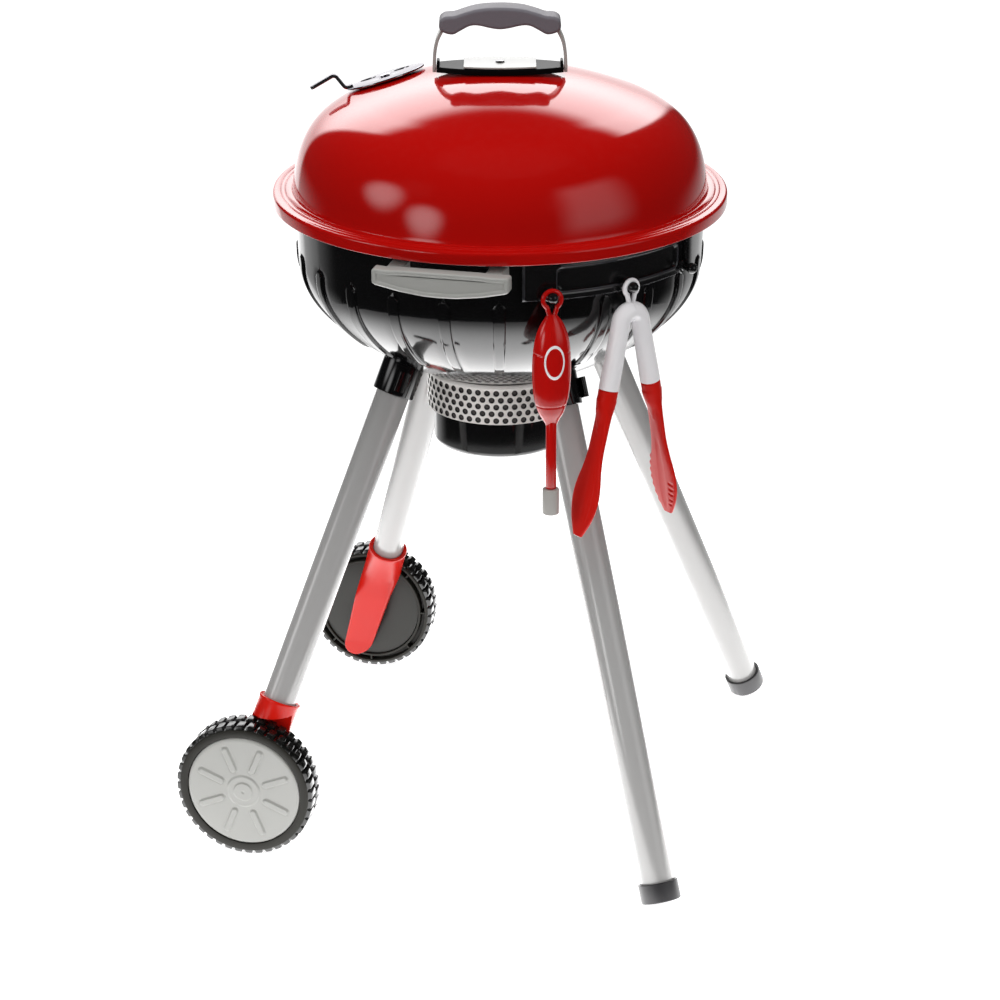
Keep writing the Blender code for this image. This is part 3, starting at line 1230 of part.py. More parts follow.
def make_igniter(kettle):
    angle = peg_angle(0)
    axis = tool_frame("igniter_axis", angle, kettle)
    centre = HANG_DROP + TOOL_WIRE - IGNITER_LOOP_RADIUS
    body_top = centre - IGNITER_LOOP_RADIUS - IGNITER_LOOP_NECK / 2
    profile = [(0.0, body_top)]
    profile += [(IGNITER_RADIUS * r, body_top - IGNITER_LENGTH * z) for z, r in BODY_SHARES]
    profile.append((0.0, body_top - IGNITER_LENGTH))
    body = as_mesh(turned("igniter_body", profile, MEDIUM))
    body.data.transform(Matrix.Diagonal((1.0, IGNITER_FLATNESS, 1.0, 1.0)))
    place(body, TOOL_RED, axis)
    ring = loop_ring("igniter_loop", IGNITER_LOOP_RADIUS, centre, body_top - TOOL_WIRE * 2)
    ring.parent = axis
    join(body, ring)

    rod_top = body_top - IGNITER_LENGTH + IGNITER_ROD_INSERT
    rod_low = body_top - IGNITER_LENGTH - IGNITER_ROD_LENGTH
    place(rod("igniter_rod", IGNITER_ROD_RADIUS, rod_low, rod_top, SMALL), TOOL_RED, axis)
    bore = rod("rod_bore", IGNITER_ROD_RADIUS + CLEARANCE, rod_low, rod_top + CLEARANCE, SMALL)
    bore.parent = axis
    cut(body, bore)
    tip_high = rod_low - CLEARANCE
    tip = rod("igniter_tip", IGNITER_TIP_RADIUS, tip_high - IGNITER_TIP_LENGTH, tip_high, SMALL)
    add_bevel(place(tip, TIP_GREY, axis), IGNITER_TIP_EDGE, 2)

    label = flat_outline("igniter_label", [ellipse(LABEL_WIDTH / 2, LABEL_LENGTH / 2, SMALL)], LABEL_THICKNESS)
    move(label, rotation=(math.pi / 2, 0.0, 0.0))
    depth = IGNITER_RADIUS * IGNITER_FLATNESS - LABEL_SINK
    move(label, location=(0.0, -depth - LABEL_THICKNESS / 2, body_top - LABEL_DROP))
    place(label, TOOL_RED, axis)
    around = ellipse(LABEL_WIDTH / 2 + CLEARANCE, LABEL_LENGTH / 2 + CLEARANCE, SMALL)
    pocket = flat_outline("label_pocket", [around], LABEL_THICKNESS + OVERRUN)
    move(pocket, rotation=(math.pi / 2, 0.0, 0.0))
    move(pocket, location=(0.0, -depth - (LABEL_THICKNESS + OVERRUN) / 2 + CLEARANCE, body_top - LABEL_DROP))
    pocket.parent = axis
    cut(body, pocket)
    return axis


def ellipse(half_width, half_height, count):
    angles = [math.tau * i / count for i in range(count)]
    return [(half_width * math.cos(a), half_height * math.sin(a)) for a in angles]


def loop_ring(name, radius, centre, low):
    """The hanging loop: most of a circle whose two ends close on the tool."""
    points = [(0.0, 0.0, low)]
    steps = 10
    gap = math.radians(35)
    for i in range(steps + 1):
        a = -math.pi / 2 + gap + (math.tau - 2 * gap) * i / steps
        points.append((radius * math.cos(a), 0.0, centre + radius * math.sin(a)))
    return bent_tube(name, points, TOOL_WIRE, cyclic=True)


# Tongs

def make_tongs(kettle):
    angle = peg_angle(1)
    axis = tool_frame("tongs_axis", angle, kettle)
    centre = HANG_DROP + TOOL_WIRE - TONGS_LOOP_RADIUS
    bow_top = centre - TONGS_LOOP_RADIUS - TONGS_LOOP_NECK / 2
    bend = bow_top - BOW_RADIUS - BOW_BEND
    points = []
    steps = 10
    for i in range(steps + 1):
        a = ARM_SPLAY + (math.pi - 2 * ARM_SPLAY) * i / steps
        points.append((BOW_BEND * math.cos(a), 0.0, bend + BOW_BEND * math.sin(a)))
    end_x = BOW_BEND * math.cos(ARM_SPLAY) + BOW_STUB * math.sin(ARM_SPLAY)
    end_z = bend + BOW_BEND * math.sin(ARM_SPLAY) - BOW_STUB * math.cos(ARM_SPLAY)
    points = [(end_x, 0.0, end_z)] + points + [(-end_x, 0.0, end_z)]
    bow = place(bent_tube("tongs_bow", points, BOW_RADIUS, resolution=3), TOOL_WHITE, axis)
    ring = loop_ring("tongs_loop", TONGS_LOOP_RADIUS, centre, bow_top - TOOL_WIRE * 2)
    ring.parent = axis
    join(bow, ring)

    for side, name in ((-1, "left"), (1, "right")):
        splay = (0.0, -side * ARM_SPLAY, 0.0)
        hinge = make_empty("tongs_arm_axis_" + name, (side * end_x, 0.0, end_z), splay, axis)
        arm = rod("tongs_arm_" + name, ARM_END_RADIUS, -ARM_LENGTH, -CLEARANCE, MEDIUM, BOW_RADIUS)
        place(arm, TOOL_WHITE, hinge)
        notch = box("squeeze_notch", (OVERRUN, OVERRUN, OVERRUN), (-side * OVERRUN / 2, 0.0, OVERRUN / 2))
        move(notch, location=(0.0, 0.0, -CLEARANCE), rotation=(0.0, -side * ARM_SQUEEZE, 0.0))
        notch.parent = hinge
        cut(arm, notch)
        make_jaw(name, side, hinge)
    return axis


def make_jaw(name, side, hinge):
    """A red jaw: a round socket on the arm that flattens into a blade.

    The blade's broad side faces the other arm; its width runs along local Y."""
    low = -ARM_LENGTH - CLEARANCE
    sections = []
    count = TINY
    for share in (0.0, SOCKET_SHARE):
        sections.append(jaw_section(low - share * JAW_LENGTH, ARM_END_RADIUS, ARM_END_RADIUS, 0.0, count))
    for share, wide in BLADE_SHARES:
        shift = BLADE_SHIFT_SHARE * JAW_WIDTH * max(0.0, share - BLADE_SHARES[0][0])
        z = low - share * JAW_LENGTH
        sections.append(jaw_section(z, JAW_THICKNESS / 2, wide * JAW_WIDTH / 2, shift, count))
    jaw = place(loft("tongs_jaw_" + name, list(reversed(sections))), TOOL_RED, hinge)
    if side > 0:
        teeth = []
        for i in range(TOOTH_COUNT):
            z = low - JAW_LENGTH * (TOOTH_START_SHARE + TOOTH_SPAN_SHARE * i / (TOOTH_COUNT - 1))
            tooth = box("tooth", (JAW_THICKNESS, TOOTH_HEIGHT * 2, TOOTH_HEIGHT * 2))
            move(tooth, rotation=(math.pi / 4, 0.0, 0.0))
            teeth.append(move(tooth, location=(0.0, blade_edge(z, low), z)))
        teeth = merged("teeth", teeth)
        teeth.parent = hinge
        join(jaw, teeth)
    return jaw


def blade_edge(z, low):
    """Where the blade's back edge lies at a height."""
    share = (low - z) / JAW_LENGTH
    for (s0, w0), (s1, w1) in zip(BLADE_SHARES, BLADE_SHARES[1:]):
        if s0 <= share <= s1:
            wide = w0 + (w1 - w0) * (share - s0) / (s1 - s0)
            shift = BLADE_SHIFT_SHARE * JAW_WIDTH * (share - BLADE_SHARES[0][0])
            return shift + wide * JAW_WIDTH / 2
    return 0.0


def jaw_section(z, half_thick, half_wide, shift, count):
    """An oval slice across a jaw."""
    angles = [math.tau * i / count for i in range(count)]
    return [(half_thick * math.cos(a), shift + half_wide * math.sin(a), z) for a in angles]


def smooth_round_pieces():
    """Shade every piece smooth, with its sharp edges kept."""
    for obj in GRILL.objects:
        if obj.type == "MESH":
            obj.data.shade_smooth()
            obj.data.set_sharp_from_angle(angle=math.radians(35))


def build():
    kettle = make_empty("kettle_axis", (KETTLE_X, 0.0, 0.0))
    make_bowl(kettle)
    make_front_handle(kettle)
    make_tool_rack(kettle)
    for position, azimuth, wheel in (("front_right", -LEG_AZIMUTH, False), ("back_right", LEG_AZIMUTH, False),
                                     ("front_left", math.pi + LEG_AZIMUTH, True),
                                     ("back_left", math.pi - LEG_AZIMUTH, True)):
        make_leg(position, azimuth, wheel, kettle)
    make_wheel("front_left", -1, kettle)
    make_wheel("back_left", 1, kettle)
    make_vent(kettle)
    make_grate(kettle)
    make_coal_bed(kettle)
    lid = make_empty("lid_axis", (0.0, 0.0, RIM_HEIGHT), (0.0, 0.0, LID_TURN), kettle)
    make_lid_shell(lid)
    make_lid_handle(lid)
    make_damper(lid)
    make_igniter(kettle)
    make_tongs(kettle)
    smooth_round_pieces()


build()
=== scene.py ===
import json
import math

import bmesh
import bpy
from mathutils import Euler, Matrix, Vector


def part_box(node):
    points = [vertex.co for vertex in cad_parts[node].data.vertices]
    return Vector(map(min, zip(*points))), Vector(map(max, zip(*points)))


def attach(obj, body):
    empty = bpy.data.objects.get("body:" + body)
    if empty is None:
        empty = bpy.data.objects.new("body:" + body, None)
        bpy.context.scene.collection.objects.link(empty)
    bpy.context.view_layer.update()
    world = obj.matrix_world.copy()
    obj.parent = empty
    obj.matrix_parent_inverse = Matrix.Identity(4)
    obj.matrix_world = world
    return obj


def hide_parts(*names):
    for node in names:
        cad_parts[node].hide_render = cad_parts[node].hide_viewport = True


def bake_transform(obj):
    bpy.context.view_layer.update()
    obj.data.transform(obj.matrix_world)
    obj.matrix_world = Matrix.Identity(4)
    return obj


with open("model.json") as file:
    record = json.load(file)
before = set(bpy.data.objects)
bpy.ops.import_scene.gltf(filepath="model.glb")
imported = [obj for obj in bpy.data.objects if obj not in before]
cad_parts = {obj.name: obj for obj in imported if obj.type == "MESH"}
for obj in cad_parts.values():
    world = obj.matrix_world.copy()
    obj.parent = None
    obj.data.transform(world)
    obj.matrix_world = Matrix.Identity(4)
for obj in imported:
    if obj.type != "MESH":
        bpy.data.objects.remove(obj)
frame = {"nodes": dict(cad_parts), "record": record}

TAU = math.tau
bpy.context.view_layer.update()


# Sizes in metres, in the kettle's own frame: its axis is x 0, y 0, and the floor is z 0

CLEARANCE = 0.0003
KETTLE_X = (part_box("ash_cup")[0].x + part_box("ash_cup")[1].x) / 2
RIM_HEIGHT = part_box("lid_shell")[0].z
WHEEL_CENTRES = {
    "front_left": (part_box("tyre_front_left")[0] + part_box("tyre_front_left")[1]) / 2,
    "back_left": (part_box("tyre_back_left")[0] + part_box("tyre_back_left")[1]) / 2,
}

BOWL_RADIUS = 0.1375
BOWL_LOW_RADIUS = 0.1360
BOWL_SIDE = 0.0356
BOWL_DEPTH = 0.1156
BOWL_BOTTOM_RADIUS = 0.050
BOWL_WALL = 0.0025
SIDE_CURVE_SHARES = ((1.0, 0.0), (1.005, 0.375), (0.56, 0.775), (0.0, 1.0))

DOME_FOOT = 0.0087
DOME_HEIGHT = 0.0876
DOME_RADIUS = 0.1390
RIM_RADIUS = 0.1522
RIM_WALL = 0.0022
CROWN_RADIUS = 0.0920
CROWN_RISE = 0.0169
CROWN_CURVE = (CROWN_RADIUS ** 2 + CROWN_RISE ** 2) / (2 * CROWN_RISE)
SHOULDER_SHARES = ((0.0, 0.0), (0.72, 0.19), (0.93, 0.45), (1.0, 1.0))

LEG_AZIMUTH = math.radians(48.5)
SOCKET_OFFSET = 0.0811
FOOT_REACH = 0.2312
TUBE_RADIUS = 0.0113
WHEEL_RADIUS = 0.0481


# Lines and outlines

def polar(radius, angle, height=0.0):
    return Vector((radius * math.cos(angle), radius * math.sin(angle), height))


def kettle_place(x=0.0, y=0.0, z=0.0, turn=(0.0, 0.0, 0.0)):
    """A place in the kettle's frame as a matrix in the row frame."""
    return Matrix.Translation((KETTLE_X + x, y, z)) @ Euler(turn).to_matrix().to_4x4()


def smoothstep(value, low, high):
    t = min(max((value - low) / (high - low), 0.0), 1.0)
    return t * t * (3 - 2 * t)


def hump(value, start, full, fading, end):
    """A smooth rise from 0 to 1 and back to 0 as the value grows."""
    return smoothstep(value, start, full) * (1 - smoothstep(value, fading, end))


def squared(value, power):
    """A cosine or sine drawn outwards, which makes a squarer oval with a higher power."""
    return math.copysign(abs(value) ** (2 / power), value)


def bezier(p0, p1, p2, p3, count):
    """Points along a cubic curve."""
    points = []
    for i in range(count + 1):
        t = i / count
        a, b, c, d = (1 - t) ** 3, 3 * (1 - t) ** 2 * t, 3 * (1 - t) * t * t, t ** 3
        points.append(tuple(a * u + b * v + c * w + d * x for u, v, w, x in zip(p0, p1, p2, p3)))
    return points


def smooth_line(points, steps=6, closed=False):
    """A smooth line through points."""
    count = len(points)
    result = []
    for i in range(count if closed else count - 1):
        if closed:
            p = [points[(i + k) % count] for k in (-1, 0, 1, 2)]
        else:
            p = [points[min(max(i + k, 0), count - 1)] for k in (-1, 0, 1, 2)]
        for s in range(steps):
            t = s / steps
            result.append(tuple(
                0.5 * (2 * b + (c - a) * t + (2 * a - 5 * b + 4 * c - d) * t * t
                       + (3 * b - a - 3 * c + d) * t ** 3)
                for a, b, c, d in zip(*p)))
    if not closed:
        result.append(tuple(points[-1]))
    return result


def offset_profile(points, distance):
    """Shift a profile sideways; a positive distance goes to its left."""
    shifted = []
    for i, (r, z) in enumerate(points):
        before = points[max(i - 1, 0)]
        after = points[min(i + 1, len(points) - 1)]
        dr, dz = after[0] - before[0], after[1] - before[1]
        length = math.hypot(dr, dz)
        shifted.append((r - distance * dz / length, z + distance * dr / length))
    return shifted


def radius_at(profile, height, otherwise):
    """The radius at a height of a profile that runs down, or another value past its ends."""
    for (r0, z0), (r1, z1) in zip(profile, profile[1:]):
        if z1 <= height <= z0:
            return r0 + (r1 - r0) * (z0 - height) / (z0 - z1)
    return otherwise


def rounded(points, radius, steps=4, closed=True):
    """Round a polyline's corners. A point may carry its own radius as a third number."""
    result = []
    count = len(points)
    for i, point in enumerate(points):
        corner = Vector(point[:2])
        size = point[2] if len(point) > 2 else radius
        if not closed and i in (0, count - 1) or size <= 0:
            result.append(tuple(corner))
            continue
        before = Vector(points[i - 1][:2]) - corner
        after = Vector(points[(i + 1) % count][:2]) - corner
        turn = before.angle(after, math.pi)
        if turn > math.pi - 0.02:
            result.append(tuple(corner))
            continue
        reach = min(size / math.tan(turn / 2), before.length * 0.49, after.length * 0.49)
        start = corner + before.normalized() * reach
        end = corner + after.normalized() * reach
        pull = 4 / 3 * math.tan((math.pi - turn) / 4) * math.tan(turn / 2)
        first = start + (corner - start) * pull
        last = end + (corner - end) * pull
        result += bezier(start, first, last, end, steps)
    return result


def mirrored_outline(shares, half_length, height):
    """A closed anticlockwise outline from shares of its right half, which run clockwise from the top."""
    right = [(x * half_length, y * height) for x, y in shares]
    outline = right + [(-x, y) for x, y in reversed(right) if x > 0]
    return list(reversed(outline))


def inset_outline(outline, distance):
    """Move a closed outline that runs anticlockwise inwards."""
    count = len(outline)
    moved = []
    for i in range(count):
        here = Vector(outline[i])
        before = here - Vector(outline[i - 1])
        after = Vector(outline[(i + 1) % count]) - here
        if before.length < 1e-9 or after.length < 1e-9:
            before = after = before + after
        normal_before = Vector((-before.y, before.x)).normalized()
        normal_after = Vector((-after.y, after.x)).normalized()
        normal = normal_before + normal_after
        scale = 2 / max(normal.length_squared, 1.0)
        moved.append(tuple(here + normal * distance * scale))
    return moved


def circle(radius, count, centre=(0.0, 0.0)):
    return [(centre[0] + radius * math.cos(i * TAU / count), centre[1] + radius * math.sin(i * TAU / count))
            for i in range(count)]


def block(wide, tall, radius=0.0, steps=4, centre=(0.0, 0.0)):
    """A rectangle's outline, its corners rounded if asked."""
    x, y = wide / 2, tall / 2
    points = [(-x, -y), (x, -y), (x, y), (-x, y)]
    if radius:
        points = rounded(points, radius, steps)
    return [(u + centre[0], v + centre[1]) for u, v in points]


# Mesh helpers

def bridge(bm, low, high, closed=True):
    """Quads between two rows of vertices; repeated vertices make triangles or nothing."""
    for i in range(len(low) if closed else len(low) - 1):
        j = (i + 1) % len(low)
        corners = []
        for vertex in (low[i], low[j], high[j], high[i]):
            if vertex not in corners:
                corners.append(vertex)
        if len(corners) > 2:
            bm.faces.new(corners)


def lathe(profile, segments=144, place=None, closed=True, shape=None, bm=None):
    """Turn a profile of (radius, height) points about Z, and add it to a mesh or start one.

    shape(angle, index, radius, height) may give each point another radius and height."""
    bm = bm or bmesh.new()
    place = place or kettle_place()
    poles = {}
    rows = []
    for s in range(segments):
        angle = s * TAU / segments
        row = []
        for i, (r, z) in enumerate(profile):
            if shape:
                r, z = shape(angle, i, r, z)
            if r < 1e-7:
                if i not in poles:
                    poles[i] = bm.verts.new(place @ Vector((0.0, 0.0, z)))
                row.append(poles[i])
            else:
                row.append(bm.verts.new(place @ polar(r, angle, z)))
        rows.append(row)
    for s in range(segments):
        bridge(bm, rows[s], rows[(s + 1) % segments], closed)
    return bm


def turned(profile, segments, place=None):
    """A closed turned solid whose profile starts and ends on the axis."""
    return lathe(profile, segments, place, closed=False)


def loft(sections, ring=False, bm=None):
    """A skin through rings with as many points each, capped at its ends or closed to a ring."""
    bm = bm or bmesh.new()
    rings = [[bm.verts.new(point) for point in section] for section in sections]
    for low, high in zip(rings, rings[1:]):
        bridge(bm, low, high)
    if ring:
        bridge(bm, rings[-1], rings[0])
    else:
        bm.faces.new(list(reversed(rings[0])))
        bm.faces.new(rings[-1])
    return bm


def at_height(place, outline, z):
    """A flat outline of (x, y) points, set at a height in a place."""
    return [place @ Vector((x, y, z)) for x, y in outline]


def prism(place, outline, low, high, bm=None):
    return loft([at_height(place, outline, low), at_height(place, outline, high)], bm=bm)


def slab(outline, low, high, place, edge=0.0005, low_edge=None, steps=3):
    """Extrude an anticlockwise outline from low to high with rounded edges."""
    low_edge = edge if low_edge is None else low_edge
    layers = []
    for i in range(steps + 1):
        angle = math.pi / 2 * i / steps
        layers.append((low_edge * (1 - math.sin(angle)), low + low_edge * (1 - math.cos(angle))))
    for i in range(steps + 1):
        angle = math.pi / 2 * (1 - i / steps)
        layers.append((edge * (1 - math.sin(angle)), high - edge * (1 - math.cos(angle))))
    return loft([at_height(place, inset_outline(outline, inset) if inset > 0 else outline, z)
                 for inset, z in layers])


def strip(path, width, thickness, place, edge=0.0005, widths=None):
    """A flat bar along a path of (x, z) points, its width across Y."""
    sections = []
    for i, (x, z) in enumerate(path):
        before = path[max(i - 1, 0)]
        after = path[min(i + 1, len(path) - 1)]
        dx, dz = after[0] - before[0], after[1] - before[1]
        length = math.hypot(dx, dz)
        nx, nz = -dz / length, dx / length
        wide = width * (widths[i] if widths else 1.0)
        ring = block(wide, thickness, min(edge, wide * 0.45), 3)
        sections.append([place @ Vector((x + nx * v, u, z + nz * v)) for u, v in ring])
    return loft(sections)


def tube(path, radii, sides, place, ring=False):
    """A round tube along points in a place, with a radius for each point."""
    points = [place @ Vector(p) for p in path]
    count = len(points)
    previous = None
    rows = []
    for i, point in enumerate(points):
        if ring:
            along = points[(i + 1) % count] - points[i - 1]
        else:
            along = points[min(i + 1, count - 1)] - points[max(i - 1, 0)]
        along.normalize()
        if previous is None:
            side = along.cross(place.to_3x3() @ Vector((0.0, 1.0, 0.0)))
        else:
            side = previous - along * previous.dot(along)
        side.normalize()
        previous = side
        other = along.cross(side)
        rows.append([point + (side * math.cos(k * TAU / sides) + other * math.sin(k * TAU / sides)) * radii[i]
                     for k in range(sides)])
    return loft(rows, ring)


def add_object(name, data):
    obj = bpy.data.objects.new(name, data)
    bpy.context.scene.collection.objects.link(obj)
    return obj


def mesh_object(name, bm):
    """An object from a bmesh, with all its faces turned outwards."""
    bmesh.ops.recalc_face_normals(bm, faces=bm.faces)
    mesh = bpy.data.meshes.new(name)
    bm.to_mesh(mesh)
    bm.free()
    return add_object(name, mesh)


def carve(bm, tool, operation="DIFFERENCE"):
    """Cut one closed mesh by another, or join them, by an exact Boolean."""
    objects = [mesh_object("carve", source) for source in (bm, tool)]
    modifier = objects[0].modifiers.new("carve", "BOOLEAN")
    modifier.operation = operation
    modifier.object = objects[1]
    depsgraph = bpy.context.evaluated_depsgraph_get()
    mesh = bpy.data.meshes.new_from_object(objects[0].evaluated_get(depsgraph))
    result = bmesh.new()
    result.from_mesh(mesh)
    for obj in objects:
        bpy.data.objects.remove(obj, do_unlink=True)
    return result


def paint(bm, index, chosen):
    """Give each face whose middle is chosen another of its piece's finishes."""
    for face in bm.faces:
        if chosen(face.calc_center_median()):
            face.material_index = index


def new_piece(name, bm, slot, body, nodes, sharp=35.0, looks=None, weighted=False, ride=True):
    """Make an object from a bmesh, shade it, and let it ride on a body for its CAD nodes."""
    obj = mesh_object(name, bm)
    obj.data.shade_smooth()
    obj.data.set_sharp_from_angle(angle=math.radians(sharp))
    for look in looks or (slot,):
        obj.data.materials.append(FINISHES[look])
    if weighted:
        modifier = obj.modifiers.new("flat faces stay flat", "WEIGHTED_NORMAL")
        modifier.keep_sharp = True
    if ride:
        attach(obj, body)
    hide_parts(*nodes)
    return obj


# Shader helpers

def colour(code):
    """A hex colour as linear red, green, blue and alpha."""
    values = [int(code[i:i + 2], 16) / 255 for i in (0, 2, 4)]
    return tuple(v / 12.92 if v <= 0.04045 else ((v + 0.055) / 1.055) ** 2.4 for v in values) + (1.0,)


def fill(tree, made, inputs):
    """Set or link a node's inputs by name or number."""
    for key, value in inputs.items():
        if isinstance(value, bpy.types.NodeSocket):
            tree.links.new(value, made.inputs[key])
        else:
            made.inputs[key].default_value = value


def node(tree, kind, inputs=None, **settings):
    """Add a node, set its properties, and fill its inputs."""
    made = tree.nodes.new(kind)
    for key, value in settings.items():
        setattr(made, key, value)
    fill(tree, made, inputs or {})
    return made


def maths(tree, operation, *values):
    return node(tree, "ShaderNodeMath", dict(enumerate(values)), operation=operation).outputs[0]


def fade(tree, value, low, high, start=0.0, end=1.0):
    """A smooth step from start to end as the value goes from low to high."""
    inputs = {"Value": value, "From Min": low, "From Max": high, "To Min": start, "To Max": end}
    return node(tree, "ShaderNodeMapRange", inputs, interpolation_type="SMOOTHSTEP").outputs[0]


def new_group(name, inputs, outputs):
    """An empty node group with its sockets; returns the tree, its inputs and its output node."""
    tree = bpy.data.node_groups.new(name, "ShaderNodeTree")
    for label, kind, value in inputs:
        socket = tree.interface.new_socket(label, in_out="INPUT", socket_type=kind)
        socket.default_value = value
    for label, kind in outputs:
        tree.interface.new_socket(label, in_out="OUTPUT", socket_type=kind)
    return tree, tree.nodes.new("NodeGroupInput").outputs, tree.nodes.new("NodeGroupOutput")


def make_mould_texture():
    """The faint unevenness of a moulded surface, as a normal."""
    tree, given, out = new_group(
        "mould_texture",
        [("Scale", "NodeSocketFloat", 400.0), ("Strength", "NodeSocketFloat", 0.02)],
        [("Normal", "NodeSocketVector")])
    place = node(tree, "ShaderNodeTexCoord").outputs["Object"]
    grain = node(tree, "ShaderNodeTexNoise", {"Vector": place, "Scale": given["Scale"], "Detail": 3.0})
    inputs = {"Strength": given["Strength"], "Distance": 0.0004, "Height": grain.outputs[0]}
    bump = node(tree, "ShaderNodeBump", inputs)
    tree.links.new(bump.outputs[0], out.inputs["Normal"])
    return tree


def make_handling_marks():
    """Cloudy smears that make a finish a little duller in places."""
    tree, given, out = new_group(
        "handling_marks",
        [("Roughness", "NodeSocketFloat", 0.2), ("Amount", "NodeSocketFloat", 0.05)],
        [("Roughness", "NodeSocketFloat")])
    place = node(tree, "ShaderNodeTexCoord").outputs["Object"]
    smear = node(tree, "ShaderNodeTexNoise", {"Vector": place, "Scale": 22.0, "Detail": 6.0})
    cloud = fade(tree, smear.outputs[0], 0.42, 0.68)
    tree.links.new(maths(tree, "MULTIPLY_ADD", cloud, given["Amount"], given["Roughness"]),
                   out.inputs["Roughness"])
    return tree


def make_settled_dust():
    """A trace of pale dust on the faces that look up."""
    tree, given, out = new_group(
        "settled_dust",
        [("Color", "NodeSocketColor", (0.5, 0.5, 0.5, 1.0)), ("Amount", "NodeSocketFloat", 0.03)],
        [("Color", "NodeSocketColor")])
    place = node(tree, "ShaderNodeTexCoord").outputs["Object"]
    facing = node(tree, "ShaderNodeSeparateXYZ",
                  {0: node(tree, "ShaderNodeNewGeometry").outputs["Normal"]}).outputs["Z"]
    specks = node(tree, "ShaderNodeTexNoise", {"Vector": place, "Scale": 180.0, "Detail": 5.0})
    mask = maths(tree, "MULTIPLY", fade(tree, facing, 0.3, 1.0), fade(tree, specks.outputs[0], 0.4, 0.8))
    share = maths(tree, "MULTIPLY", mask, given["Amount"])
    # A colour mix has its factor at input 0, its two colours at 6 and 7, and its colour at output 2
    mixed = node(tree, "ShaderNodeMix", {0: share, 6: given["Color"], 7: colour("b8b4ac")}, data_type="RGBA")
    tree.links.new(mixed.outputs[2], out.inputs["Color"])
    return tree


MOULD_TEXTURE = make_mould_texture()
HANDLING_MARKS = make_handling_marks()
SETTLED_DUST = make_settled_dust()


def new_material(name):
    """A material with its node tree and its shader."""
    material = bpy.data.materials.new(name)
    material.use_nodes = True
    return material, material.node_tree, material.node_tree.nodes["Principled BSDF"]


def finish_of(name, code, roughness, grain, marks, dust, metallic=0.0, specular=0.5, edge_tint="ffffff"):
    """A plastic, rubber or metal finish from the shared effects and its own values.

    grain is the mould texture's scale and strength, marks and dust are amounts."""
    material, tree, shader = new_material(name)
    fill(tree, shader, {"Base Color": colour(code), "Metallic": metallic, "Specular IOR Level": specular,
                        "Specular Tint": colour(edge_tint)})

    def effect(group, inputs):
        return node(tree, "ShaderNodeGroup", inputs, node_tree=group)

    texture = effect(MOULD_TEXTURE, {"Scale": grain[0], "Strength": grain[1]})
    smears = effect(HANDLING_MARKS, {"Roughness": roughness, "Amount": marks})
    settled = effect(SETTLED_DUST, {"Color": colour(code), "Amount": dust})
    fill(tree, shader, {"Normal": texture.outputs["Normal"], "Roughness": smears.outputs["Roughness"],
                        "Base Color": settled.outputs["Color"]})
    return material


FINISHES = {
    "red_gloss_plastic": finish_of("red_gloss", "b40b07", 0.08, (260.0, 0.010), 0.01, 0.005),
    "black_gloss_plastic": finish_of("black_gloss", "0b0b0c", 0.09, (240.0, 0.02), 0.03, 0.02),
    "silver_grey_plastic": finish_of("silver_grey", "aaaaa6", 0.28, (900.0, 0.06), 0.05, 0.02),
    "silver_leg_finish": finish_of("silver_leg", "b0afae", 0.16, (700.0, 0.02), 0.01, 0.01, 0.06),
    "chrome": finish_of("chrome", "b2b0b4", 0.10, (300.0, 0.01), 0.03, 0.0, 1.0, edge_tint="e0dee2"),
    "dark_rubber": finish_of("dark_rubber", "29282a", 0.45, (900.0, 0.12), 0.08, 0.04),
    "tyre_black_plastic": finish_of("tyre_black", "24231f", 0.40, (900.0, 0.10), 0.06, 0.03, specular=0.16),
    "dark_grey_plastic": finish_of("dark_grey", "2a2a27", 0.36, (900.0, 0.08), 0.05, 0.03, specular=0.2),
    "grip_grey_plastic": finish_of("grip_grey", "737076", 0.50, (1100.0, 0.08), 0.05, 0.02, specular=0.15),
    "tool_red_plastic": finish_of("tool_red", "dc1c10", 0.22, (600.0, 0.02), 0.02, 0.01, specular=0.25),
    "tool_white_plastic": finish_of("tool_white", "fbf9fb", 0.24, (600.0, 0.03), 0.03, 0.01),
    "tip_grey_plastic": finish_of("tip_grey", "b0ada9", 0.36, (800.0, 0.05), 0.04, 0.02),
    "grate_grey_plastic": finish_of("grate_grey", "6e6e70", 0.34, (800.0, 0.06), 0.05, 0.03),
    "coal_black_plastic": finish_of("coal_black", "1d1c1c", 0.60, (350.0, 0.30), 0.08, 0.06),
    "vent_band": finish_of("vent_band_pale", "f0ece8", 0.26, (800.0, 0.03), 0.04, 0.02),
    "axle": finish_of("axle_steel", "9a9a9c", 0.25, (700.0, 0.04), 0.05, 0.0, 1.0),
    "black_satin": finish_of("black_satin", "09090a", 0.36, (500.0, 0.03), 0.03, 0.0, specular=0.05),
    "rack_black": finish_of("rack_black", "121213", 0.18, (500.0, 0.03), 0.04, 0.03),
    # A lighter grey laid on the rack's raised line and outer edge: a painted highlight, not the rack's own
    # colour
    "rack_painted_highlight": finish_of("rack_painted_highlight", "353539", 0.24, (500.0, 0.03), 0.04, 0.03),
    "dark_hole": finish_of("dark_hole", "120e0d", 0.5, (700.0, 0.03), 0.05, 0.02),
    "hole_centre": finish_of("hole_centre", "3c3633", 0.4, (700.0, 0.03), 0.05, 0.02),
    "tread_gloss": finish_of("tread_gloss", "121211", 0.13, (700.0, 0.05), 0.05, 0.02),
    "lighter_red": finish_of("lighter_red", "c2100c", 0.13, (500.0, 0.02), 0.02, 0.01),
    "jaw_red": finish_of("jaw_red", "cc1a12", 0.30, (600.0, 0.03), 0.03, 0.01, specular=0.10),
}

for part in frame["record"]["subparts"]:
    cad = frame["nodes"][part["node"]]
    cad.data.materials.clear()
    cad.data.materials.append(FINISHES[part["material_slot"]])


# Bowl, with its lip and ribs

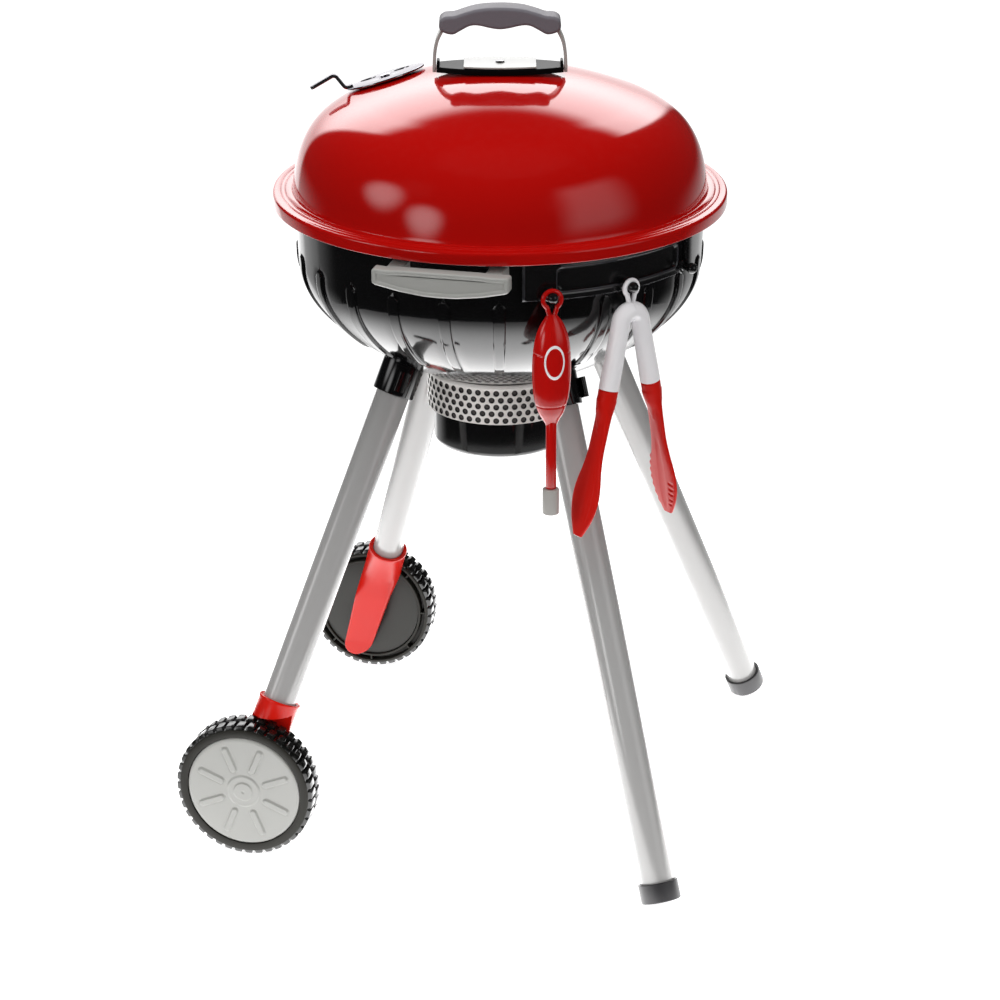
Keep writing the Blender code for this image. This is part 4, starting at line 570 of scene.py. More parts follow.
LIP_TOP = RIM_HEIGHT + DOME_FOOT - RIM_WALL - CLEARANCE
LIP_RADIUS = BOWL_RADIUS + 0.0090
LIP_LOW = LIP_TOP - 0.0025
BOTTOM_HEIGHT = RIM_HEIGHT - BOWL_DEPTH
LEDGE_TOP = RIM_HEIGHT - 0.014
LEDGE_WIDTH = 0.0045
LEDGE_LOW = LEDGE_TOP - 0.003
BOWL_EDGE = 0.0006
SIDE_ROW_HEIGHTS = (0.4155, 0.4050)
RIB_COUNT = 24
RIB_SECTOR = TAU / RIB_COUNT
RIB_START = math.radians(-76.5)
RIB_WIDTH = 0.0082
RIB_HEIGHT = 0.0013
RIB_SHOULDER = RIM_HEIGHT - 0.0340
RIB_POINT = 0.0060
RIB_TIP_SHARE = 0.12
RIB_END = 0.3386
RIB_FADE = (0.0030, 0.005)
RIB_SLOPE = 0.0007
RIB_GROOVE = 0.0002
RIB_GROOVE_WIDTH = 0.0012


def bowl_outer(count=34):
    """The bowl's outer side from under the rim down to the bottom."""
    side_end = RIM_HEIGHT - BOWL_SIDE
    span = BOWL_LOW_RADIUS - BOWL_BOTTOM_RADIUS
    drop = BOWL_DEPTH - BOWL_SIDE
    knots = [(BOWL_BOTTOM_RADIUS + r * span, side_end - z * drop) for r, z in SIDE_CURVE_SHARES]
    heights = [RIM_HEIGHT, *SIDE_ROW_HEIGHTS] + [RIB_SHOULDER + RIB_POINT * (1 - i / 5) for i in range(6)]
    widening = (BOWL_RADIUS - BOWL_LOW_RADIUS) / BOWL_SIDE
    return [(BOWL_LOW_RADIUS + widening * (z - side_end), z) for z in heights] + bezier(*knots, count)


BOWL_OUTER = bowl_outer()


def bowl_radius(height):
    """The bowl's outer radius at a height, or a negative number under its bottom."""
    return radius_at(BOWL_OUTER, height, BOWL_RADIUS if height > RIM_HEIGHT else -1.0)


def rib_steps(r, z):
    """Turns away from a rib's middle at a place on the bowl, each with its share of the rib's height."""
    point = min(max((RIB_SHOULDER + RIB_POINT - z) / RIB_POINT, RIB_TIP_SHARE), 1.0)
    wide = RIB_WIDTH / BOWL_RADIUS / 2 * point
    slope = RIB_SLOPE / r * point
    groove = RIB_GROOVE_WIDTH / r
    return [(0.0, 1.0), (wide * 0.5, 1.0), (wide - slope, 1.0), (wide - slope * 0.6, 0.88), (wide, 0.0),
            (wide + groove * 5 / 12, -RIB_GROOVE / RIB_HEIGHT), (wide + groove, 0.0),
            ((wide + groove + RIB_SECTOR / 2) / 2, 0.0), (RIB_SECTOR / 2, 0.0)]


def make_bowl():
    inner = offset_profile(BOWL_OUTER, -BOWL_WALL)
    wall = inner[0][0]
    shelf = wall - LEDGE_WIDTH
    under = LEDGE_LOW - LEDGE_WIDTH
    inside = [(0.0, BOTTOM_HEIGHT + BOWL_WALL)] + [p for p in reversed(inner) if p[1] < under][::2]
    inside += rounded([(inside[-1][0], under), (shelf, LEDGE_LOW), (shelf, LEDGE_TOP), (wall, LEDGE_TOP),
                       (wall, LIP_TOP), (LIP_RADIUS, LIP_TOP), (LIP_RADIUS, LIP_LOW), (BOWL_RADIUS, LIP_LOW),
                       BOWL_OUTER[0]], BOWL_EDGE, 3, closed=False)[:-1]
    profile = inside + BOWL_OUTER + [(0.0, BOTTOM_HEIGHT)]
    place = kettle_place()
    bm = bmesh.new()
    poles = [bm.verts.new(place @ Vector((0.0, 0.0, profile[i][1]))) for i in (0, -1)]
    rows = []
    for column in range(16 * RIB_COUNT):
        rib, side = column // 16, column % 16 - 8
        row = [poles[0]]
        for i, (r, z) in enumerate(profile[1:-1], 1):
            turn, rise = rib_steps(r, z)[abs(side)]
            lift = RIB_HEIGHT * rise if i >= len(inside) else 0.0
            lift *= smoothstep(RIB_SHOULDER + RIB_POINT - z, 0.0, RIB_FADE[0])
            lift *= smoothstep(z, RIB_END, RIB_END + RIB_FADE[1])
            before, after = profile[i - 1], profile[i + 1]
            dr, dz = after[0] - before[0], after[1] - before[1]
            length = math.hypot(dr, dz)
            angle = RIB_START + rib * RIB_SECTOR + math.copysign(turn, side)
            row.append(bm.verts.new(place @ polar(r - dz / length * lift, angle, z + dr / length * lift)))
        rows.append(row + [poles[1]])
    for i, row in enumerate(rows):
        bridge(bm, row, rows[(i + 1) % len(rows)], closed=False)
    new_piece("bowl_body", bm, "black_gloss_plastic", "stand", ("bowl", "bowl_lip"), 38.0)


make_bowl()


# Lid and damper

LID_TURN = math.radians(14.0)
LID_WALL = 0.0023
LID_EDGE = 0.0007
RIM_ROLL = 0.0022
RIDGE_RADII = (0.1437, 0.1467)
RIDGE_WIDTH = 0.0014
RIDGE_HEIGHT = 0.0005
FOOT_FILLET = 0.0010
VENT_RADIUS = 0.0050
PIN_BORE = 0.0033
VENT_CUT = 0.008


def lid_place(x=0.0, y=0.0, z=0.0, turn=(0.0, 0.0, 0.0)):
    """A place in the lid's frame, which is turned on the rim."""
    return (kettle_place(0.0, 0.0, RIM_HEIGHT, (0.0, 0.0, LID_TURN))
            @ Matrix.Translation((x, y, z)) @ Euler(turn).to_matrix().to_4x4())


def crown_height(radius):
    return DOME_HEIGHT - (CROWN_CURVE - math.sqrt(CROWN_CURVE ** 2 - radius * radius))


DAMPER_REACH = 0.0840
DAMPER_AZIMUTH = math.radians(156.0)
DAMPER_TURN = math.radians(29.0)
DAMPER_RADIUS = 0.0275
DAMPER_LOW = CLEARANCE
DAMPER_HIGH = DAMPER_LOW + 0.0014
DAMPER_BORE = 0.0034
DAMPER_EDGE = 0.0005
DAMPER_HOLES = [polar(0.0170, math.radians(a)) for a in (-48.0, -136.0)]
# Up through a hole of the disc: the height and the radius, with a bevel at the top
DAMPER_HOLE_STEPS = ((DAMPER_LOW - 0.001, 0.0054), (DAMPER_HIGH - 0.0004, 0.0054),
                     (DAMPER_HIGH + 0.001, 0.0064))
DAMPER_PLACE = (lid_place(*polar(DAMPER_REACH, DAMPER_AZIMUTH, crown_height(DAMPER_REACH)))
                @ Matrix.Rotation(DAMPER_AZIMUTH, 4, "Z")
                @ Matrix.Rotation(math.asin(DAMPER_REACH / CROWN_CURVE), 4, "Y")
                @ Matrix.Rotation(DAMPER_TURN, 4, "Z"))

# The tab's line from the disc's edge and underside; then, at distances from its end, shares of its width
TAB_LINE = ((-0.005, 0.0017), (0.0002, 0.0017), (0.0045, 0.0125), (0.0225, 0.0085))
TAB_BEND = 0.0030
TAB_WIDTH = 0.0100
TAB_THICKNESS = 0.0024
TAB_TIP = ((0.0040, 1.0), (0.0022, 0.95), (0.0010, 0.82), (0.0, 0.60))
# The pin's head as radii and heights
PIN_HEAD = ((0.0, 0.0013), (0.0022, 0.0011), (0.0036, 0.0007), (0.0044, 0.0002), (0.0044, 0.0), (0.0030, 0.0))
PIN_LOW = -0.0040


def make_lid():
    crown = [(CROWN_RADIUS * i / 26, crown_height(CROWN_RADIUS * i / 26)) for i in range(27)]
    wide, tall = DOME_RADIUS - CROWN_RADIUS, DOME_FOOT - crown[-1][1]
    knots = [(CROWN_RADIUS + r * wide, crown[-1][1] + z * tall) for r, z in SHOULDER_SHARES]
    dome = crown + bezier(*knots, 34)[1:]
    inner = offset_profile(dome, -LID_WALL)
    inner[0] = (0.0, DOME_HEIGHT - LID_WALL)
    foot = rounded([dome[-2], dome[-1], (DOME_RADIUS + 0.003, DOME_FOOT)], FOOT_FILLET, 4, closed=False)[1:-1]
    rim = []
    for middle in RIDGE_RADII:
        for share in (-1.0, -0.5, 0.0, 0.5, 1.0):
            rise = RIDGE_HEIGHT * (1 + math.cos(share * math.pi)) / 2
            rim.append((middle + share * RIDGE_WIDTH / 2, DOME_FOOT + rise))
    roll = []
    for i in range(9):
        angle = math.pi / 2 * (1 - i / 8)
        roll.append((RIM_RADIUS - RIM_ROLL * (1 - math.cos(angle)),
                     DOME_FOOT - RIM_ROLL * (1 - math.sin(angle))))
    skirt = rounded([roll[-1], (RIM_RADIUS, 0.0), (RIM_RADIUS - RIM_WALL, 0.0),
                     (RIM_RADIUS - RIM_WALL, DOME_FOOT - RIM_WALL), (inner[-1][0], DOME_FOOT - RIM_WALL)],
                    LID_EDGE, 3, closed=False)[1:]
    bm = turned(dome[:-1] + foot + rim + roll + skirt + list(reversed(inner[:-1])), 208, lid_place())
    cutter = bmesh.new()
    for spot, radius in [(p, VENT_RADIUS) for p in DAMPER_HOLES] + [(Vector((0, 0, 0)), PIN_BORE)]:
        prism(DAMPER_PLACE, circle(radius, 32, (spot.x, spot.y)), -VENT_CUT, VENT_CUT, cutter)
    new_piece("lid_dome", carve(bm, cutter), "red_gloss_plastic", "lid", ("lid_shell",), 38.0)


def make_damper_tab():
    line = [(DAMPER_RADIUS + x, DAMPER_LOW + z) for x, z in TAB_LINE]
    path = rounded(line, TAB_BEND, 8, closed=False)
    last = Vector(path[-1])
    back = (Vector(path[-2]) - last).normalized()
    path = path[:-1]
    widths = [1.0] * len(path) + [width for _, width in TAB_TIP]
    path += [tuple(last + back * distance) for distance, _ in TAB_TIP]
    return strip(path, TAB_WIDTH, TAB_THICKNESS, DAMPER_PLACE, 0.0004, widths)


def make_damper():
    outline = rounded([(DAMPER_BORE, DAMPER_LOW), (DAMPER_RADIUS, DAMPER_LOW), (DAMPER_RADIUS, DAMPER_HIGH),
                       (DAMPER_BORE, DAMPER_HIGH)], DAMPER_EDGE, 4)
    bm = lathe(outline, 128, DAMPER_PLACE)
    cutter = bmesh.new()
    for spot in DAMPER_HOLES:
        loft([at_height(DAMPER_PLACE, circle(radius, 48, (spot.x, spot.y)), z)
              for z, radius in DAMPER_HOLE_STEPS], bm=cutter)
    bm = carve(carve(bm, cutter), make_damper_tab(), "UNION")
    new_piece("damper", bm, "chrome", "damper", ("damper_disc",), 40.0)
    head = DAMPER_HIGH + CLEARANCE
    profile = [(r, head + z) for r, z in PIN_HEAD] + [(PIN_HEAD[-1][0], PIN_LOW), (0.0, PIN_LOW)]
    new_piece("damper_pin", turned(profile, 48, DAMPER_PLACE), "chrome", "lid", ("damper_rivet",), 50.0)


make_lid()
make_damper()


# Lid handle

GRIP_HALF = 0.0398
GRIP_TALL = 0.0180
GRIP_DEEP = 0.0190
GRIP_EDGE = 0.0022
GRIP_LOW = DOME_HEIGHT + 0.0436 - GRIP_TALL
GRIP_SHARES = ((0.0, 1.0), (0.20, 0.985), (0.40, 0.93), (0.58, 0.82), (0.74, 0.70), (0.84, 0.68),
               (0.91, 0.66), (0.97, 0.58), (1.0, 0.46), (1.0, 0.22), (0.93, 0.07), (0.78, 0.0), (0.65, 0.14),
               (0.50, 0.31), (0.36, 0.33), (0.15, 0.23), (0.0, 0.19))
BASE_LOW = DOME_HEIGHT + CLEARANCE
BASE_HIGH = BASE_LOW + 0.0036
BASE_HALF = 0.0420
BASE_DEEP = 0.0160
BASE_BULGE = 0.0180
BASE_EDGE = 0.0009
BASE_LOW_EDGE = 0.0002
END_LIP_THICKNESS = 0.0020
END_LIP_DEEP = 0.0158
END_LIP_NARROWING = 0.0080
END_LIP_OFFSET = BASE_HALF - 0.0012
END_LIP_LOW = BASE_LOW + 0.0010
END_LIP_RISE = 0.0060
# Up an end lip: the share of its rise, and how much thicker it is there
END_LIP_STEPS = ((0.0, 0.0), (0.5, 0.0), (0.85, -0.0002), (1.0, -0.0006))
STRAP_SHARES = ((0.0, 1.0), (0.25, 0.98), (0.50, 0.88), (0.75, 0.60), (1.0, 0.0))
STRAP_WIDTH = 0.0120
STRAP_THICKNESS = 0.0022
STRAP_HIGH = GRIP_LOW + 0.0030
PLATE_LOW = BASE_HIGH + CLEARANCE
PLATE_HIGH = PLATE_LOW + 0.0012
PLATE_HALF = 0.0240
PLATE_MARGIN = 0.0012
SCREW_LOW = PLATE_HIGH + CLEARANCE
# The screw's head as radii and heights, then its slot's length, width and floor
SCREW_HEAD = ((0.0, 0.0010), (0.0018, 0.0009), (0.0027, 0.0005), (0.0030, 0.0), (0.0, 0.0))
SCREW_SLOT = (0.0040, 0.0007, 0.0005)


def base_outline(half, margin=0.0, steps=28):
    """The handle base from above: wide in the middle, narrow at its ends."""
    front = []
    for i in range(steps + 1):
        x = half * (2 * i / steps - 1)
        deep = (BASE_DEEP + BASE_BULGE * (1 - (x / BASE_HALF) ** 2)) / 2 - margin
        front.append((x, -deep))
    return front + [(x, -y) for x, y in reversed(front)]


def make_grip():
    outline = smooth_line(mirrored_outline(GRIP_SHARES, GRIP_HALF, GRIP_TALL), 4, closed=True)
    outline = [(x, z + GRIP_LOW) for x, z in outline]
    upright = lid_place(turn=(math.pi / 2, 0.0, 0.0))
    bm = slab(outline, -GRIP_DEEP / 2, GRIP_DEEP / 2, upright, GRIP_EDGE, steps=5)
    new_piece("grip", bm, "grip_grey_plastic", "lid", ("lid_grip",), weighted=True)


def make_straps():
    low = BASE_LOW - CLEARANCE
    start = BASE_HALF + CLEARANCE + STRAP_THICKNESS / 2
    end = GRIP_HALF - STRAP_THICKNESS
    for side, name in ((-1, "left"), (1, "right")):
        knots = [(side * (end + (start - end) * out), low + (STRAP_HIGH - low) * share)
                 for share, out in STRAP_SHARES]
        bm = strip(smooth_line(knots, 8), STRAP_WIDTH, STRAP_THICKNESS, lid_place())
        new_piece("strap_" + name, bm, "silver_grey_plastic", "lid", ("lid_strap_" + name,))


def make_handle_base():
    bm = slab(base_outline(BASE_HALF), BASE_LOW, BASE_HIGH, lid_place(), BASE_EDGE, BASE_LOW_EDGE)
    for side in (-1, 1):
        rings = []
        for share, grow in END_LIP_STEPS:
            deep = END_LIP_DEEP - END_LIP_NARROWING * share ** 2
            ring = block(END_LIP_THICKNESS + grow, deep, 0.0006, 3, (side * END_LIP_OFFSET, 0.0))
            rings.append(at_height(lid_place(), ring, END_LIP_LOW + END_LIP_RISE * share))
        bm = carve(bm, loft(rings), "UNION")
    new_piece("handle_base", bm, "black_gloss_plastic", "lid", ("lid_handle_base",), looks=["black_satin"],
              weighted=True)


def make_handle_plate():
    bm = slab(base_outline(PLATE_HALF, PLATE_MARGIN), PLATE_LOW, PLATE_HIGH, lid_place(), 0.0004)
    new_piece("handle_plate", bm, "silver_grey_plastic", "lid", ("lid_handle_plate",), weighted=True)
    bm = turned([(r, SCREW_LOW + z) for r, z in SCREW_HEAD], 40, lid_place())
    length, width, floor = SCREW_SLOT
    slot = slab(block(length, width), SCREW_LOW + floor, SCREW_LOW + 0.002, lid_place(), 0.00005)
    new_piece("handle_screw", carve(bm, slot), "axle", "lid", ("lid_handle_screw",), 50.0)


make_grip()
make_straps()
make_handle_base()
make_handle_plate()


# Front handle

HANDLE_HALF = 0.0445
HANDLE_TALL = 0.0165
HANDLE_TOP = RIM_HEIGHT - 0.0035
HANDLE_BACK = 0.1510
HANDLE_FRONT = 0.1600
HANDLE_CORNER = 0.0016
HANDLE_LEAST_CORNER = 0.0005
HANDLE_SHARES = ((0.0, 1.0), (0.55, 1.0), (0.80, 0.97), (0.97, 1.0), (1.0, 0.93), (1.0, 0.42), (0.95, 0.34),
                 (0.60, 0.14), (0.25, 0.02), (0.0, 0.0))
# How far each layer of the handle is drawn in, and where it lies, first from the back, then from the front
HANDLE_BACK_LAYERS = ((0.0009, 0.0), (0.0003, 0.0003), (0.0, 0.0009))
HANDLE_FRONT_LAYERS = ((0.0, -0.0011), (0.0004, -0.0004), (0.0010, 0.0), (0.0023, 0.0), (0.0027, -0.0002),
                       (0.0032, -0.0008), (0.0036, -0.0009))
POST_OFFSET = 0.0320
POST_HEIGHT = HANDLE_TOP - 0.0010 - 0.0045
POST_WIDE = 0.0110
POST_TALL = 0.0090
POST_CORNER = 0.0012
POST_SEAT = 0.0004
POST_END = 0.1555
# Along a post: the distance from the bowl, and how much wider it is there
POST_STEPS = ((0.0, 0.0012), (0.006, 0.0), (0.0180, 0.0))


def make_front_handle():
    outline = mirrored_outline(HANDLE_SHARES, HANDLE_HALF, HANDLE_TALL)
    outline = [(x, z + HANDLE_TOP - HANDLE_TALL) for x, z in outline]
    upright = kettle_place(turn=(math.pi / 2, 0.0, 0.0))
    layers = [(inset, HANDLE_BACK + z) for inset, z in HANDLE_BACK_LAYERS]
    layers += [(inset, HANDLE_FRONT + z) for inset, z in HANDLE_FRONT_LAYERS]
    sections = []
    for inset, depth in layers:
        ring = rounded(inset_outline(outline, inset), max(HANDLE_CORNER - inset, HANDLE_LEAST_CORNER), 4)
        sections.append(at_height(upright, ring, depth))
    bm = loft(sections)
    for side in (-1, 1):
        rings = []
        for depth, grow in POST_STEPS:
            middle = (side * POST_OFFSET, POST_HEIGHT)
            ring = block(POST_WIDE + grow, POST_TALL + grow, POST_CORNER, 4, middle)
            points = []
            for x, z in ring:
                start = math.sqrt((bowl_radius(z) - POST_SEAT) ** 2 - x * x)
                points.append(upright @ Vector((x, z, min(start + depth, POST_END))))
            rings.append(points)
        bm = carve(bm, loft(rings), "UNION")
    new_piece("handle_front", bm, "silver_grey_plastic", "stand", ("front_handle",), 30.0, weighted=True)


make_front_handle()


# Tool rack

RACK_AZIMUTH = math.radians(-42.0)
RACK_RADIUS = BOWL_RADIUS + CLEARANCE + 0.0045
RACK_HALF = math.radians(28.5) * RACK_RADIUS
RACK_TOP = RIM_HEIGHT - 0.0012
RACK_LOW = RACK_TOP - 0.0262
RACK_EDGE = 0.0014
PANEL_HALF = math.radians(19.5) * RACK_RADIUS
PANEL_TOP = RACK_TOP - 0.0050
PANEL_LOW = PANEL_TOP - 0.0150
PANEL_CORNER = 0.0035
PANEL_RECESS = 0.0016
BEAD_HEIGHT = 0.0006
BEAD_STEPS = (0.0003, 0.0009, 0.0013, 0.0021)
# Where the rack's painted highlight lies: a band just outside the panel, and a strip along the outer edge
LINE_START = 0.0001
LINE_END = 0.0016
EDGE_LINE = 0.0009
NEAR_EDGE = (-0.0009, -0.0004, 0.0, 0.0003, 0.0007)
PEG_TURNS = (-21.5, 0.0, 21.5)
PEG_HEIGHT = RIM_HEIGHT - 0.0226
# The peg's foot as radii and distances from the kettle's axis
PEG_FOOT = ((0.0, 0.1395), (0.0046, 0.1395), (0.0046, 0.1434), (0.0042, 0.1439), (0.0026, 0.1441),
            (0.0022, 0.1446))
PEG_NECK = 0.0022
BULB_REACH = 0.1501
BULB_RADIUS = 0.0036
BULB_STEPS = (50, 65, 80, 95, 110, 125, 140, 155, 168)
CLIP_TURN = math.radians(23.5)
CLIP_TOP = RACK_TOP - 0.0025
CLIP_TALL = 0.0212
CLIP_EDGE = 0.0006


def near(values, marks):
    """Sorted positions, with extra ones close to each mark."""
    extra = [m + d for m in marks for d in NEAR_EDGE]
    return sorted(set(round(v, 7) for v in list(values) + extra))


def distance_from_panel(u, z):
    """How far a place on the rack's face lies outside the recessed panel; below zero inside it."""
    x = abs(u) - PANEL_HALF + PANEL_CORNER
    y = abs(z - (PANEL_LOW + PANEL_TOP) / 2) - (PANEL_TOP - PANEL_LOW) / 2 + PANEL_CORNER
    return math.hypot(max(x, 0.0), max(y, 0.0)) + min(max(x, y), 0.0) - PANEL_CORNER


def distance_from_edge(u, z):
    return min(RACK_HALF - abs(u), z - RACK_LOW, RACK_TOP - z)


def rack_radius(u, z):
    """The rack's face: rounded edges, a raised line round the panel, and the sunk panel."""
    edge = min(distance_from_edge(u, z), RACK_EDGE)
    drop = RACK_EDGE * (1 - math.sqrt(max(0.0, 1 - (1 - edge / RACK_EDGE) ** 2)))
    outside = distance_from_panel(u, z)
    sink = PANEL_RECESS * smoothstep(-outside, 0.0, 0.0007)
    return RACK_RADIUS - 0.0004 - drop - sink + BEAD_HEIGHT * hump(outside, *BEAD_STEPS)


def is_rack_painted_highlight(middle):
    """Whether a face of the rack lies on the raised line or the outer edge, where a lighter grey is laid on
    as a painted highlight.
    """
    x = middle.x - KETTLE_X
    u = (math.atan2(middle.y, x) - RACK_AZIMUTH) * RACK_RADIUS
    on_line = LINE_START < distance_from_panel(u, middle.z) < LINE_END
    on_edge = distance_from_edge(u, middle.z) < EDGE_LINE
    return (on_line or on_edge) and math.hypot(x, middle.y) > RACK_RADIUS - 0.0022


def make_peg(turn):
    angle = RACK_AZIMUTH + math.radians(turn)
    aim = kettle_place(0.0, 0.0, PEG_HEIGHT, (0.0, 0.0, angle)) @ Matrix.Rotation(math.pi / 2, 4, "Y")
    profile = list(PEG_FOOT) + [(PEG_NECK, BULB_REACH - BULB_RADIUS * 0.9)]
    profile += [(BULB_RADIUS * math.sin(a), BULB_REACH - BULB_RADIUS * math.cos(a) + 0.0004)
                for a in [math.radians(d) for d in BULB_STEPS]]
    return turned(profile + [(0.0, BULB_REACH + BULB_RADIUS + 0.0002)], 40, aim)


def make_clip():
    """The upright bar near the rack's right end."""
    aim = kettle_place(turn=(0.0, 0.0, RACK_AZIMUTH + CLIP_TURN))
    ring = block(0.0070, 0.0060, 0.0008, 3, (RACK_RADIUS, 0.0))
    low = CLIP_TOP - CLIP_TALL
    layers = ((CLIP_EDGE, low), (0.0, low + CLIP_EDGE), (0.0, CLIP_TOP - CLIP_EDGE), (CLIP_EDGE, CLIP_TOP))
    return loft([at_height(aim, inset_outline(ring, inset) if inset else ring, z) for inset, z in layers])


def make_rack():
    across = near([RACK_HALF * (i / 46 - 1) for i in range(93)], (-PANEL_HALF, PANEL_HALF))
    upward = near([RACK_LOW + (RACK_TOP - RACK_LOW) * i / 26 for i in range(27)], (PANEL_LOW, PANEL_TOP))
    back = [(bowl_radius(z) + 0.0002, z) for z in (RACK_TOP, (RACK_TOP + RACK_LOW) / 2, RACK_LOW)]
    sections = []
    for u in across:
        ring = [(rack_radius(u, z), z) for z in upward] + back
        angle = RACK_AZIMUTH + u / RACK_RADIUS
        sections.append([kettle_place() @ polar(r, angle, z) for r, z in ring])
    bm = loft(sections)
    # The raised line and the outer edge get the lighter grey, a painted highlight along the rack's edges
    paint(bm, 1, is_rack_painted_highlight)
    for tool in [make_peg(turn) for turn in PEG_TURNS] + [make_clip()]:
        bm = carve(bm, tool, "UNION")
    new_piece("rack", bm, "black_gloss_plastic", "stand", ("tool_rack",), 38.0,
              looks=["rack_black", "rack_painted_highlight"])


make_rack()


# Legs: sockets, tubes and foot caps

def radius_height(radius):
    """The height at which the bowl's curved side has a radius."""
    for (r0, z0), (r1, z1) in zip(BOWL_OUTER, BOWL_OUTER[1:]):
        if r1 <= radius <= r0 and r0 > r1:
            return z0 + (z1 - z0) * (r0 - radius) / (r0 - r1)
    return BOTTOM_HEIGHT


SOCKET_HEIGHT = radius_height(SOCKET_OFFSET) - 0.0065
LEG_SLOPE = (FOOT_REACH - SOCKET_OFFSET) / SOCKET_HEIGHT
LEG_SPLAY = math.atan(LEG_SLOPE)
SOCKET_RADIUS = 0.0143
SOCKET_BORE = TUBE_RADIUS + 0.0004
SOCKET_SIDES = 80
SOCKET_LOW = -0.0150
SOCKET_SEAT = 0.0001
KEY_SIZE = (0.0090, 0.0030)
KEY_CORNER = 0.0007
KEY_PLACE = (0.00715, SOCKET_RADIUS + 0.0002)
KEY_ENDS = (-0.0115, 0.0020)
FOOT_RADIUS = 0.0133
FOOT_CENTRE = FOOT_RADIUS * math.sin(LEG_SPLAY) - 0.0012
FOOT_TALL = 0.0130
FOOT_FLOOR = 0.0030
MOUTH_HEIGHT = 2 * WHEEL_RADIUS + 0.0088
TUBE_WALL = 0.0012
TUBE_TOP = 0.0045
WHEEL_WIDTH = 0.0220
BRACKET_GAP = 0.0012
COLLAR_INSERT = 0.0180
COLLAR_WALL = 0.0016
LEGS = {
    "front_right": -LEG_AZIMUTH,
    "back_right": LEG_AZIMUTH,
    "front_left": math.pi + LEG_AZIMUTH,
    "back_left": math.pi - LEG_AZIMUTH,
}


def leg_place(position):
    azimuth = LEGS[position]
    spot = polar(SOCKET_OFFSET, azimuth, SOCKET_HEIGHT)
    return kettle_place(spot.x, spot.y, spot.z, (0.0, -LEG_SPLAY, azimuth))


def distance_down(height):
    return (SOCKET_HEIGHT - height) / math.cos(LEG_SPLAY)


def outward(position):
    """The side of the kettle that a leg or wheel stands on: -1 in front, 1 at the back."""
    return -1 if position.startswith("front") else 1


def under_bowl(place, x, y):
    """How far up a leg's axis a point can go before it meets the bowl."""
    low, high = -0.010, 0.045
    for _ in range(22):
        middle = (low + high) / 2
        point = place @ Vector((x, y, middle))
        if math.hypot(point.x - KETTLE_X, point.y) < bowl_radius(point.z):
            high = middle
        else:
            low = middle
    return low


def make_socket(position):
    place = leg_place(position)

    def low_ring(radius, rise):
        return at_height(place, circle(radius, SOCKET_SIDES), SOCKET_LOW + rise)

    def top_ring(radius):
        return [place @ Vector((x, y, under_bowl(place, x, y) - SOCKET_SEAT))
                for x, y in circle(radius, SOCKET_SIDES)]

    bm = loft([top_ring(SOCKET_BORE), low_ring(SOCKET_BORE, 0.0), low_ring(SOCKET_RADIUS - 0.0007, 0.0),
               low_ring(SOCKET_RADIUS - 0.0002, 0.0002), low_ring(SOCKET_RADIUS, 0.0007),
               top_ring(SOCKET_RADIUS)], ring=True)
    key = prism(place, block(*KEY_SIZE, KEY_CORNER, 3, KEY_PLACE), *KEY_ENDS)
    new_piece("socket_" + position, carve(bm, key, "UNION"), "black_gloss_plastic", "stand",
              ("leg_socket_" + position,), 38.0)


def wheel_side_block(position, inset):
    """A block in the wheel's place that reaches past it by the running gap and an inset."""
    centre = WHEEL_CENTRES[position]
    near_side = abs(centre.y) - WHEEL_WIDTH / 2 - BRACKET_GAP - inset
    low, high = sorted(outward(position) * y for y in (near_side, near_side + 2 * WHEEL_WIDTH))
    reach = 1.2 * WHEEL_RADIUS
    left, right = centre.x - reach, centre.x + reach
    return prism(Matrix(), [(left, low), (right, low), (right, high), (left, high)],
                 -0.01, 2 * WHEEL_RADIUS + BRACKET_GAP + inset)


def make_tube(position):
    if position in WHEEL_CENTRES:
        low = -distance_down(MOUTH_HEIGHT) - COLLAR_INSERT
    else:
        low = -distance_down(FOOT_CENTRE) + FOOT_FLOOR + CLEARANCE
    bore = TUBE_RADIUS - TUBE_WALL
    profile = rounded([(TUBE_RADIUS, low), (TUBE_RADIUS, TUBE_TOP), (bore, TUBE_TOP), (bore, low)], 0.0003, 2)
    bm = lathe(profile, 96, leg_place(position))
    if position in WHEEL_CENTRES:
        bm = carve(bm, wheel_side_block(position, COLLAR_WALL + CLEARANCE))
    new_piece("tube_" + position, bm, "silver_leg_finish", "stand", ("leg_tube_" + position,), 38.0)


def make_foot(position):
    low = -distance_down(FOOT_CENTRE)
    high = low + FOOT_TALL
    bore = TUBE_RADIUS + CLEARANCE
    floor = low + FOOT_FLOOR
    profile = rounded([(0.0, low), (FOOT_RADIUS, low, 0.0012), (FOOT_RADIUS, high, 0.0005),
                       (bore, high, 0.0002), (bore, floor), (0.0, floor)], 0.0, 4)
    profile.insert(4, (FOOT_RADIUS, low + 0.0100))
    bm = turned(profile, 96, leg_place(position))
    for vertex in bm.verts:
        vertex.co.z = max(vertex.co.z, 0.0)
    new_piece("foot_" + position, bm, "dark_rubber", "stand", ("foot_cap_" + position,), 38.0)


for leg in LEGS:
    make_socket(leg)
    make_tube(leg)
for leg in ("front_right", "back_right"):
    make_foot(leg)


# Vent band and ash cup

BAND_TOP = BOTTOM_HEIGHT - CLEARANCE
BAND_LOW = BAND_TOP - 0.0285
BAND_RADIUS = 0.0500
BAND_WALL = 0.0020
BAND_LIP_LOW = BAND_TOP - 0.0035
BAND_LIP_RADIUS = BAND_RADIUS + 0.0010
CUP_RADIUS = 0.0452
CUP_TOP = BAND_LOW + 0.0060
CUP_LOW = CUP_TOP - 0.0320
CUP_WALL = 0.0022
HOLES_ROUND = 50
HOLE_ROWS = 5
HOLE_RADIUS = 0.00205
HOLE_DEPTH = 0.0009
HOLE_SIDES = 16
